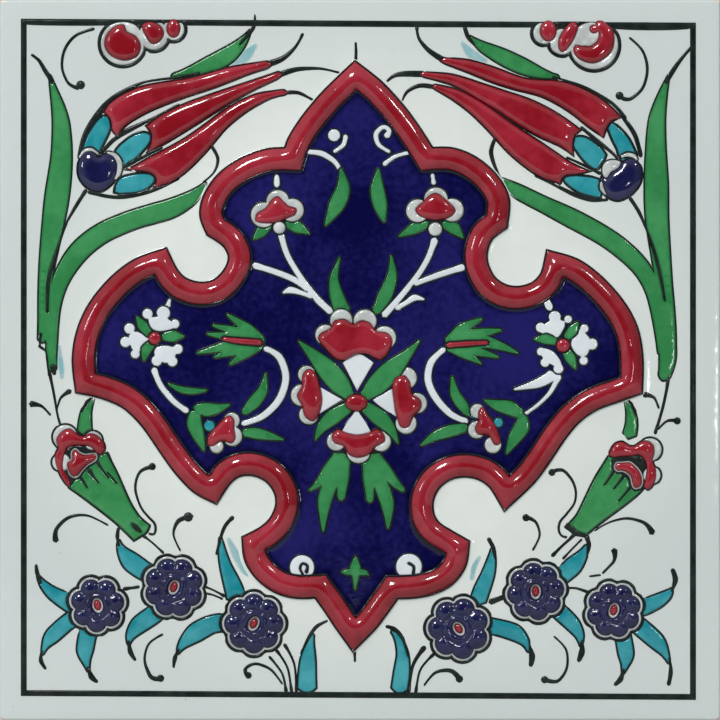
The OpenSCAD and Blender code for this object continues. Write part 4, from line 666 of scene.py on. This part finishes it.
def shared(tree, name, build, **values):
    """The shared group called name placed in a tree, with its inputs set or linked."""
    if name not in GROUPS:
        GROUPS[name] = build()
    node = tree.nodes.new("ShaderNodeGroup")
    node.node_tree = GROUPS[name]
    for label, given in values.items():
        feed(tree, node.inputs[label], given)
    return node


def fired(name, body, rough=(0.06, 0.16), ripple=0.25, peel=0.06, shine=0.36):
    """A material with the glaze skin; body(tree) gives its colour output."""
    material = bpy.data.materials.new(name)
    material.use_nodes = True
    tree = material.node_tree
    shader = next(n for n in tree.nodes if n.type == "BSDF_PRINCIPLED")
    skin = shared(tree, "Glaze skin", glaze_skin_group, Ripple=ripple, Peel=peel)
    tree.links.new(body(tree), shader.inputs["Base Color"])
    tree.links.new(skin.outputs["Normal"], shader.inputs["Normal"])
    tree.links.new(ramp(tree, skin.outputs["Wear"], 0, 1, *rough), shader.inputs["Roughness"])
    shader.inputs["IOR"].default_value = 1.5
    shader.inputs["Specular IOR Level"].default_value = shine
    return material


def brushed(tree, thick, thin, cloud=60.0, streak=420.0, amount=1.0):
    """Colour of a brushed enamel."""
    node = shared(
        tree, "Brushwork", brushwork_group, Thick=thick, Thin=thin, Cloud=cloud, Streak=streak, Amount=amount
    )
    return node.outputs["Color"]


def rim_toned(tree, body, rim, width, amount=1.0):
    """Colour with a second one along the rim: pooled glaze, on the cobalt also painted shade."""
    node = shared(tree, "Rim tone", rim_tone_group, Body=body, Rim=rim, Width=width, Amount=amount)
    return node.outputs["Color"]


# ---- materials -----------------------------------------------------------------------------------


def toned(value, factor, lift=0.0):
    """A colour made darker or lighter by factor, and raised by lift."""
    return tuple(min(1, factor * v + lift) for v in value)


def between(first, second, share):
    """The colour that lies at share of the way from the first to the second."""
    return tuple((1 - share) * a + share * b for a, b in zip(first, second))


def clay_material():
    """Dry fired clay."""
    c = colours()

    def body(tree):
        tone = brushed(tree, c.clay, toned(c.clay, 1.25), 90, 700)
        return shared(tree, "Specks", specks_group, Color=tone, Density=420.0).outputs["Color"]

    return fired("Fired clay", body, (0.75, 0.92), 0.5, 0.9)


def white_material():
    """White glaze: cool and darker towards the corners of the tile, warm and brighter towards its middle."""
    c = colours()

    def body(tree):
        radius = tree.nodes.new("ShaderNodeVectorMath")
        radius.operation = "LENGTH"
        tree.links.new(tree.nodes.new("ShaderNodeTexCoord").outputs["Object"], radius.inputs[0])
        # Share of the warm, brighter white, by distance from the tile's middle: whole within 55 mm, none
        # beyond 105 mm.
        thick = ramp(tree, radius.outputs["Value"], 0.055, 0.105, 1.0, 0.0)
        warm = brushed(tree, toned(c.warm_white, 0.93), c.warm_white, 26, 180)
        middle = blend(tree, thick, c.white, warm)
        cloud = blend(tree, noise(tree, 40, 2.0), toned(c.white, 0.86), middle)
        cloud = blend(tree, 0.75, cloud, middle)
        return shared(tree, "Specks", specks_group, Color=cloud).outputs["Color"]

    return fired("White glaze", body, (0.05, 0.12), 0.35, 0.03)


def ink_material():
    """Outline: nearly black, faintly green where it is thin."""
    c = colours()

    def body(tree):
        return brushed(tree, c.ink, toned(c.ink, 1.8, 0.006), 140, 900)

    return fired("Painted line", body, (0.12, 0.3), shine=0.12)


def cobalt_material():
    """Cobalt ground: mottled, and darker along the foot of the bead: cobalt pooled there, with painted shade
    from the bead.
    """
    c = colours()

    def body(tree):
        ground = brushed(tree, c.cobalt, c.cobalt_thin, 34, 620, 0.8)
        # Dark band along the rim next to the bead: pooled cobalt and painted shade cast by the bead.
        return rim_toned(tree, ground, toned(c.cobalt, 0.1), 2.3, 0.95)

    return fired("Cobalt ground", body, (0.06, 0.13), 0.3, 0.05, 0.3)


def navy_material():
    """Raised blue: darkest in the hollows, violet grey where it wears thin on the crests."""
    c = colours()

    def body(tree):
        tone = brushed(tree, c.navy, toned(c.navy, 1.4, 0.004), 160, 900)
        return rim_toned(tree, tone, toned(c.navy, 0.3), 0.5, 0.8)

    return fired("Raised blue", body, (0.04, 0.1), 0.6, 0.05, 0.5)


def red_material():
    """Raised red: deep where it is thick, pinker towards its rim."""
    c = colours()

    def body(tree):
        tone = brushed(tree, c.red, c.red_light, 60, 330, 0.75)
        return rim_toned(tree, tone, toned(c.red, 0.35), 0.35, 0.75)

    return fired("Raised red", body, (0.05, 0.12), 0.8, 0.05, 0.5)


def green_material():
    """Flat copper green, deeper along its rim."""
    c = colours()

    def body(tree):
        tone = brushed(tree, between(c.green, c.green_deep, 0.55), c.green, 55, 380)
        return rim_toned(tree, tone, c.green_deep, 0.8, 0.85)

    return fired("Copper green", body, (0.07, 0.15), 0.25, 0.04)


def turquoise_material():
    """Flat turquoise, paler in the middle of a stroke."""
    c = colours()

    def body(tree):
        tone = brushed(tree, c.turquoise, c.turquoise_pale, 70, 330)
        return rim_toned(tree, tone, toned(c.turquoise, 0.55), 0.5, 0.7)

    return fired("Turquoise enamel", body, (0.07, 0.15), 0.25, 0.04)


def wash_material():
    """Turquoise wash that fades into the white along its rim."""
    c = colours()

    def body(tree):
        tone = brushed(tree, between(c.turquoise_pale, c.white, 0.3), c.white, 90, 400, 0.5)
        return rim_toned(tree, tone, c.white, 0.55, 1.0)

    return fired("Turquoise wash", body, (0.05, 0.12), 0.25, 0.03)


def rim_material():
    """Pale slip of the low rims, greyer at the foot."""
    c = colours()

    def body(tree):
        tone = brushed(tree, c.rim, toned(c.rim, 1.5), 120, 600)
        return rim_toned(tree, tone, toned(c.rim, 0.42), 0.3, 0.8)

    return fired("Pale slip", body, (0.04, 0.1), 0.5, 0.05, 0.5)


def white_enamel_material():
    """Flat white enamel on the cobalt, lavender at its rim."""
    c = colours()

    def body(tree):
        tone = brushed(tree, c.enamel_white, toned(c.enamel_white, 1.12), 60, 420)
        lavender = (0.30, 0.32, 0.42)
        return rim_toned(tree, tone, lavender, 0.32, 0.7)

    return fired("White enamel", body, (0.06, 0.14), 0.25, 0.04)


# ---- pieces --------------------------------------------------------------------------------------


def film(edge, thickness, shoulder=0.12):
    """Height of a flat layer with a rounded shoulder, from the distance to its rim."""
    return thickness * (1 - np.exp(-edge / shoulder))


def lay_flat(node, material, thickness, grow=0.0, spacing=1.1):
    """A flat enamel over the footprint of a CAD node."""
    sheet = node_sheet(node, 0.4, spacing, grow, (0.14, 0.4))
    piece = solid("fired_" + node, sheet, base_of(node), film(sheet.edge, thickness))
    return settle(piece, node, material)


def crown(swell, tallest, reach):
    """Height of a raised enamel: a round arch while it is narrow, level near tallest where it is wide."""
    return tallest * (1 - np.exp(-1.35 * (swell / reach) ** 1.65))


def raise_dome(node, material, tallest, spacing=0.45, grow=0.0, reach=2.4, shape=None):
    """A raised enamel that swells from its rim; shape(sheet) gives a factor on its height."""
    sheet = node_sheet(node, 0.3, spacing, grow, (0.1, 0.28))
    height = crown(sheet.swell(), tallest, reach)
    if shape:
        height = height * shape(sheet)
    piece = solid("fired_" + node, sheet, base_of(node), height)
    return settle(piece, node, material)


def petal_ridges(sheet):
    """A factor on the height of rosettes: 1 along each petal, less in the creases between petals and round
    the eye. The number of petals and where they lie follow from the scalloped outline."""
    smallest = 4
    crease = 0.55
    groove = 0.38
    groove_place = 0.5
    factor = np.ones(len(sheet.xz))
    for loop in sheet.loops:
        middle = 0.5 * (loop.min(axis=0) + loop.max(axis=0))
        around = loop - middle
        reach = norms(around)
        if reach.mean() < smallest:
            continue
        angle = np.arctan2(around[:, 1], around[:, 0])
        step = np.abs(np.angle(np.exp(1j * (np.roll(angle, -1) - angle))))
        waves = {n: (reach * step * np.exp(1j * n * angle)).sum() for n in range(6, 10)}
        count = max(waves, key=lambda n: abs(waves[n]))
        away = sheet.xz - middle
        radius = norms(away)
        here = radius < reach.max() + 0.2
        turn = np.arctan2(away[here, 1], away[here, 0])
        ridge = np.abs(np.cos(0.5 * (count * turn - np.angle(waves[count])))) ** 0.55
        share = radius[here] / reach.mean()
        deep = np.clip((share - 0.46) / 0.24, 0, 1)
        collar = np.exp(-(((share - groove_place) / 0.07) ** 2))
        factor[here] = (1 - crease * deep * (1 - ridge)) * (1 - groove * collar)
    return factor


class TILE_OT_body(bpy.types.Operator):
    """Clay body: a pressed slab with softened edges and keying grooves in its back"""

    bl_idname = "tile.body"
    bl_label = "Clay body"

    def execute(self, context):
        half = TILE_HALF
        front = -BODY_FRONT
        groove = (half - KEY_LAND) / (2 * KEY_COUNT + 1)
        runs = []
        for side in (-1, 1):
            for k in range(KEY_COUNT):
                middle = side * (KEY_LAND + groove * (2 * k + 1.5))
                runs.append((middle - groove / 2, middle + groove / 2))
        xs = sorted({-half, half} | {x for run in runs for x in run})
        zs = [-half, KEY_MARGIN - half, half - KEY_MARGIN, half]
        shape = bmesh.new()

        def quad(*points):
            shape.faces.new([shape.verts.new(Vector(point) * MM) for point in points])

        for x0, x1 in zip(xs, xs[1:]):
            keyed = any(a < (x0 + x1) / 2 < b for a, b in runs)
            for z0, z1 in zip(zs, zs[1:]):
                y = -KEY_DEPTH if keyed and abs(z0 + z1) < 1 else 0.0
                quad((x0, y, z0), (x0, y, z1), (x1, y, z1), (x1, y, z0))
                quad((x0, front, z0), (x1, front, z0), (x1, front, z1), (x0, front, z1))
                ring = [(x0, z0), (x1, z0), (x1, z1), (x0, z1)]
                for (xa, za), (xb, zb) in zip(ring, ring[1:] + ring[:1]):
                    outer = abs(xa + xb) > 2 * half - 0.01 or abs(za + zb) > 2 * half - 0.01
                    if outer or y < 0:
                        end = front if outer else y
                        quad((xa, 0, za), (xb, 0, zb), (xb, end, zb), (xa, end, za))
        bmesh.ops.remove_doubles(shape, verts=shape.verts, dist=0.001 * MM)
        bmesh.ops.recalc_face_normals(shape, faces=shape.faces)
        sharp = [edge for edge in shape.edges if edge.calc_face_angle(0) > 1]
        bmesh.ops.bevel(shape, geom=sharp, offset=0.28 * MM, segments=3, profile=0.5, affect="EDGES")
        mesh = bpy.data.meshes.new("fired_clay_body")
        shape.to_mesh(mesh)
        shape.free()
        piece = bpy.data.objects.new("fired_clay_body", mesh)
        context.scene.collection.objects.link(piece)
        settle(piece, "clay_body", clay_material())
        return {"FINISHED"}


def rounded_square(half, corner, step):
    """A square with rounded corners, with points about step apart along its sides."""
    turn = np.linspace(0, math.pi / 2, 6)
    arc = np.stack([np.cos(turn), np.sin(turn)], axis=1) * corner
    square = []
    for k in range(4):
        c, s = round(math.cos(k * math.pi / 2)), round(math.sin(k * math.pi / 2))
        middle = (half - corner) * np.array([c - s, s + c])
        square += (middle + arc @ np.array([[c, s], [-s, c]])).tolist()
    square = np.array(square)
    points = []
    for a, b in zip(square, np.roll(square, -1, axis=0)):
        count = max(1, round(np.hypot(*(b - a)) / step))
        points += [a + (b - a) * k / count for k in range(count)]
    return np.array(points)


class TILE_OT_glaze(bpy.types.Operator):
    """White glaze: a rounded slab that climbs a little way up the foot of the bead"""

    bl_idname = "tile.glaze"
    bl_label = "White glaze"

    def execute(self, context):
        arris = size("arris")
        square = rounded_square(TILE_HALF, 1.2, 2.0)
        bead = [rounded(loop, 0.5) for loop in outlines("red_frame")]
        rings = []
        for loop, away in zip(bead, outward(bead)):
            rings += [loop + d * away for d in (0.0, 0.35, 0.8, 1.5)]
        sheet = Sheet([square], 2.4, (0.1, 0.25, 0.45, arris), rings)
        near = Nearest(bead)(sheet.xz)
        under = inside(sheet.xz, bead)
        fade = 0.75
        climb = size("pool") * np.where(under, 1, np.exp(-near / fade))
        round_off = np.sqrt(np.maximum(0, 1 - (1 - np.minimum(sheet.edge / arris, 1)) ** 2))
        thick = GLAZE_FRONT - BODY_FRONT
        piece = solid("fired_white_glaze", sheet, BODY_FRONT, thick * round_off + climb)
        settle(piece, "white_glaze", white_material())
        return {"FINISHED"}


class TILE_OT_cobalt(bpy.types.Operator):
    """Cobalt ground: a flat field that runs under the bead and pools at its foot"""

    bl_idname = "tile.cobalt"
    bl_label = "Cobalt ground"

    def execute(self, context):
        sheet = node_sheet("cobalt_ground", 0.5, 1.6, 0.45, (0.25, 0.6, 1.1, 1.8))
        fade = 0.42
        height = GROUND_FRONT - GLAZE_FRONT + 0.9 * size("pool") * np.exp(-sheet.edge / fade)
        piece = solid("fired_cobalt_ground", sheet, base_of("cobalt_ground"), height)
        settle(piece, "cobalt_ground", cobalt_material())
        return {"FINISHED"}


class TILE_OT_frame(bpy.types.Operator):
    """Frame bead: a round red bead of even width, with a dark line along its outer foot"""

    bl_idname = "tile.frame"
    bl_label = "Frame bead"

    def execute(self, context):
        sheet = node_sheet("red_frame", 0.45, 0.62, 0.0, (0.12, 0.35, 0.75))
        half_width = 3.0
        swell = np.minimum(sheet.swell() / half_width, 1.25)
        wander = 0.05 * np.sin(sheet.xz[:, 0] / 5.1) * np.sin(sheet.xz[:, 1] / 6.3 + 1)
        foot = 0.9 * size("pool")
        height = foot + (size("bead") - foot) * swell**1.6 * (1 + wander)
        piece = solid("fired_red_frame", sheet, base_of("red_frame"), height)
        settle(piece, "red_frame", red_material())
        line = node_sheet("frame_contour", 0.45, 3.0, 0.06, ())
        rise = size("pool") + 0.06
        piece = solid("fired_frame_contour", line, base_of("frame_contour"), np.full(len(line.xz), rise))
        settle(piece, "frame_contour", ink_material())
        return {"FINISHED"}


class TILE_OT_lines(bpy.types.Operator):
    """Painted lines: every brush-drawn outline and tendril"""

    bl_idname = "tile.lines"
    bl_label = "Painted lines"

    def execute(self, context):
        ink = ink_material()
        for node in INK_LINES:
            sheet = node_sheet(node, 0.4, 1.5, 0.03, (0.12,))
            height = film(sheet.edge, size("line"), 0.09)
            settle(solid("fired_" + node, sheet, base_of(node), height), node, ink)
        return {"FINISHED"}


class TILE_OT_tulips(bpy.types.Operator):
    """Tulip petals: long raised petals, and the two blue bosses under them"""

    bl_idname = "tile.tulips"
    bl_label = "Tulips"

    def execute(self, context):
        red = red_material()
        navy = navy_material()
        for side in ("left", "right"):
            raise_dome(side + "_tulip_petals", red, 1.15 * size("petal"))
            raise_dome(side + "_tulip_boss", navy, 1.25 * size("petal"), reach=4.0)
        return {"FINISHED"}


class TILE_OT_lobes(bpy.types.Operator):
    """Red lobes: clouds, carnation petals, buds and the four lobes in the middle"""

    bl_idname = "tile.lobes"
    bl_label = "Red lobes"

    def execute(self, context):
        red = red_material()
        for node in RED_LOBES:
            raise_dome(node, red, 1.1 * size("petal"), 0.36, 0.04, 2.1)
        for node in RED_BEADS:
            raise_dome(node, red, 0.85 * size("petal"), 0.3, 0.02, 1.4)
        return {"FINISHED"}


class TILE_OT_rosettes(bpy.types.Operator):
    """Blue rosettes: a ring of rounded petals with creases between them, round a sunken eye"""

    bl_idname = "tile.rosettes"
    bl_label = "Blue rosettes"

    def execute(self, context):
        navy = navy_material()
        for node in ("left_rosettes", "right_rosettes"):
            raise_dome(node, navy, 1.25 * size("petal"), 0.34, 0.22, 2.0, petal_ridges)
        return {"FINISHED"}


class TILE_OT_rims(bpy.types.Operator):
    """Pale rims: low slip scallops that show past the raised colours"""

    bl_idname = "tile.rims"
    bl_label = "Pale rims"

    def execute(self, context):
        pale = rim_material()
        for node in PALE_RIMS:
            raise_dome(node, pale, size("rim"), 0.4, 0.03, 0.9)
        return {"FINISHED"}


class TILE_OT_greens(bpy.types.Operator):
    """Green leaves and calyxes"""

    bl_idname = "tile.greens"
    bl_label = "Green enamel"

    def execute(self, context):
        green = green_material()
        for node in GREEN_FLATS:
            lay_flat(node, green, size("flat"))
        return {"FINISHED"}


class TILE_OT_turquoise(bpy.types.Operator):
    """Turquoise leaves, petal bases, dabs and washes"""

    bl_idname = "tile.turquoise"
    bl_label = "Turquoise enamel"

    def execute(self, context):
        turquoise = turquoise_material()
        for node in TURQUOISE_FLATS:
            lay_flat(node, turquoise, size("flat"), spacing=0.9)
        lay_flat("turquoise_washes", wash_material(), 0.4 * size("flat"), 0.2, 0.6)
        return {"FINISHED"}


class TILE_OT_whites(bpy.types.Operator):
    """White enamel on the cobalt: stems, side flowers and wedges"""

    bl_idname = "tile.whites"
    bl_label = "White enamel"

    def execute(self, context):
        white = white_enamel_material()
        for node in WHITE_FLATS:
            lay_flat(node, white, size("flat"))
        return {"FINISHED"}


# ---- stage ---------------------------------------------------------------------------------------


def lamp(name, place, aim, panel, power):
    """A rectangular soft light that faces aim; panel is its width and height in metres."""
    light = bpy.data.lights.new(name, "AREA")
    light.shape = "RECTANGLE"
    light.size, light.size_y = panel
    light.energy = power
    holder = bpy.data.objects.new(name, light)
    holder.location = place
    holder.rotation_euler = (Vector(aim) - Vector(place)).to_track_quat("-Z", "Y").to_euler()
    bpy.context.scene.collection.objects.link(holder)


def studio_air():
    """Soft light from all round, brighter from above and from the left, and dark straight before the tile."""
    world = bpy.data.worlds.new("Studio air")
    world.use_nodes = True
    tree = world.node_tree
    air = next(n for n in tree.nodes if n.type == "BACKGROUND")
    air.inputs["Color"].default_value = (0.93, 0.97, 1.0, 1)
    side = tree.nodes.new("ShaderNodeSeparateXYZ")
    tree.links.new(tree.nodes.new("ShaderNodeTexCoord").outputs["Generated"], side.inputs[0])
    front = maths(tree, "MULTIPLY", side.outputs["Y"], -1.0)
    high_side = maths(tree, "MULTIPLY", side.outputs["Z"], 0.34)
    left_side = maths(tree, "MULTIPLY", side.outputs["X"], -0.20)
    level = maths(tree, "ADD", maths(tree, "ADD", high_side, left_side), 0.40)
    level = maths(tree, "MULTIPLY", level, ramp(tree, front, 0.80, 0.965, 1.0, 0.08))
    tree.links.new(level, air.inputs["Strength"])
    return world


def pale_floor(height):
    """A plain floor under the tile; it ends a little way before it and runs on behind."""
    wide, back, near = 0.9, 0.8, -0.5
    mesh = bpy.data.meshes.new("floor")
    corners = [(-wide, near, height), (wide, near, height), (wide, back, height), (-wide, back, height)]
    mesh.from_pydata(corners, [], [(0, 1, 2, 3)])
    material = bpy.data.materials.new("Pale floor")
    material.use_nodes = True
    tree = material.node_tree
    shader = next(n for n in tree.nodes if n.type == "BSDF_PRINCIPLED")
    tone = blend(tree, noise(tree, 3.0, 2.0), (0.62, 0.62, 0.61), (0.66, 0.66, 0.65))
    tree.links.new(tone, shader.inputs["Base Color"])
    shader.inputs["Roughness"].default_value = 0.7
    mesh.materials.append(material)
    return bpy.data.objects.new("floor", mesh)


def square_on_camera(low, high):
    """A camera straight before the tile, with the width of the glaze filling its view."""
    distance = 1.0
    view = bpy.data.cameras.new("camera")
    view.sensor_width = 36
    view.lens = view.sensor_width * (distance - GLAZE_FRONT * MM) / (high[0] - low[0])
    view.clip_start = 0.01
    camera = bpy.data.objects.new("camera", view)
    camera.location = (0, -distance, 0.5 * (low[2] + high[2]))
    camera.rotation_euler = (math.pi / 2, 0, 0)
    return camera


class TILE_OT_stage(bpy.types.Operator):
    """Floor, lights and camera"""

    bl_idname = "tile.stage"
    bl_label = "Stage"

    def execute(self, context):
        scene = context.scene
        scene.view_settings.view_transform = "Standard"
        scene.world = studio_air()
        low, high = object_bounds()
        floor = pale_floor(low[2])
        scene.collection.objects.link(floor)
        floor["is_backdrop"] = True
        middle = (0, 0, 0)
        lamp("window", (-0.38, -0.98, 0.86), middle, (0.24, 0.26), 10.5)
        lamp("small window left", (-0.8, -0.8, 0.35), middle, (0.08, 0.2), 1.6)
        lamp("small window right", (0.72, -0.85, 0.72), middle, (0.12, 0.12), 2.4)
        lamp("low lamp", (0.3, -0.9, -0.02), middle, (0.05, 0.05), 0.25)
        camera = square_on_camera(low, high)
        scene.collection.objects.link(camera)
        scene.camera = camera
        return {"FINISHED"}


STEPS = [
    TILE_OT_body, TILE_OT_glaze, TILE_OT_cobalt, TILE_OT_frame, TILE_OT_lines, TILE_OT_tulips, TILE_OT_lobes,
    TILE_OT_rosettes, TILE_OT_rims, TILE_OT_greens, TILE_OT_turquoise, TILE_OT_whites, TILE_OT_stage,
]


class TILE_PT_panel(bpy.types.Panel):
    """Sizes, colours and one button for each group of pieces"""

    bl_idname = "TILE_PT_panel"
    bl_label = "Hand painted tile"
    bl_space_type = "VIEW_3D"
    bl_region_type = "UI"
    bl_category = "Tile"

    def draw(self, context):
        for group in (context.scene.tile_sizes, context.scene.tile_colours):
            box = self.layout.box()
            for name in group.__annotations__:
                box.prop(group, name)
        for step in STEPS:
            self.layout.operator(step.bl_idname)


CLASSES = [TileColours, TileSizes, *STEPS, TILE_PT_panel]


def register():
    """Registers the classes and hangs the properties on the scene."""
    for cls in CLASSES:
        bpy.utils.register_class(cls)
    bpy.types.Scene.tile_colours = bpy.props.PointerProperty(type=TileColours)
    bpy.types.Scene.tile_sizes = bpy.props.PointerProperty(type=TileSizes)


def unregister():
    """Takes the properties and classes away again."""
    del bpy.types.Scene.tile_sizes
    del bpy.types.Scene.tile_colours
    for cls in reversed(CLASSES):
        bpy.utils.unregister_class(cls)


def main():
    """Registers the add-on, then builds every piece and the stage."""
    register()
    for step in STEPS:
        group, name = step.bl_idname.split(".")
        getattr(getattr(bpy.ops, group), name)()


if __name__ == "__main__":
    main()
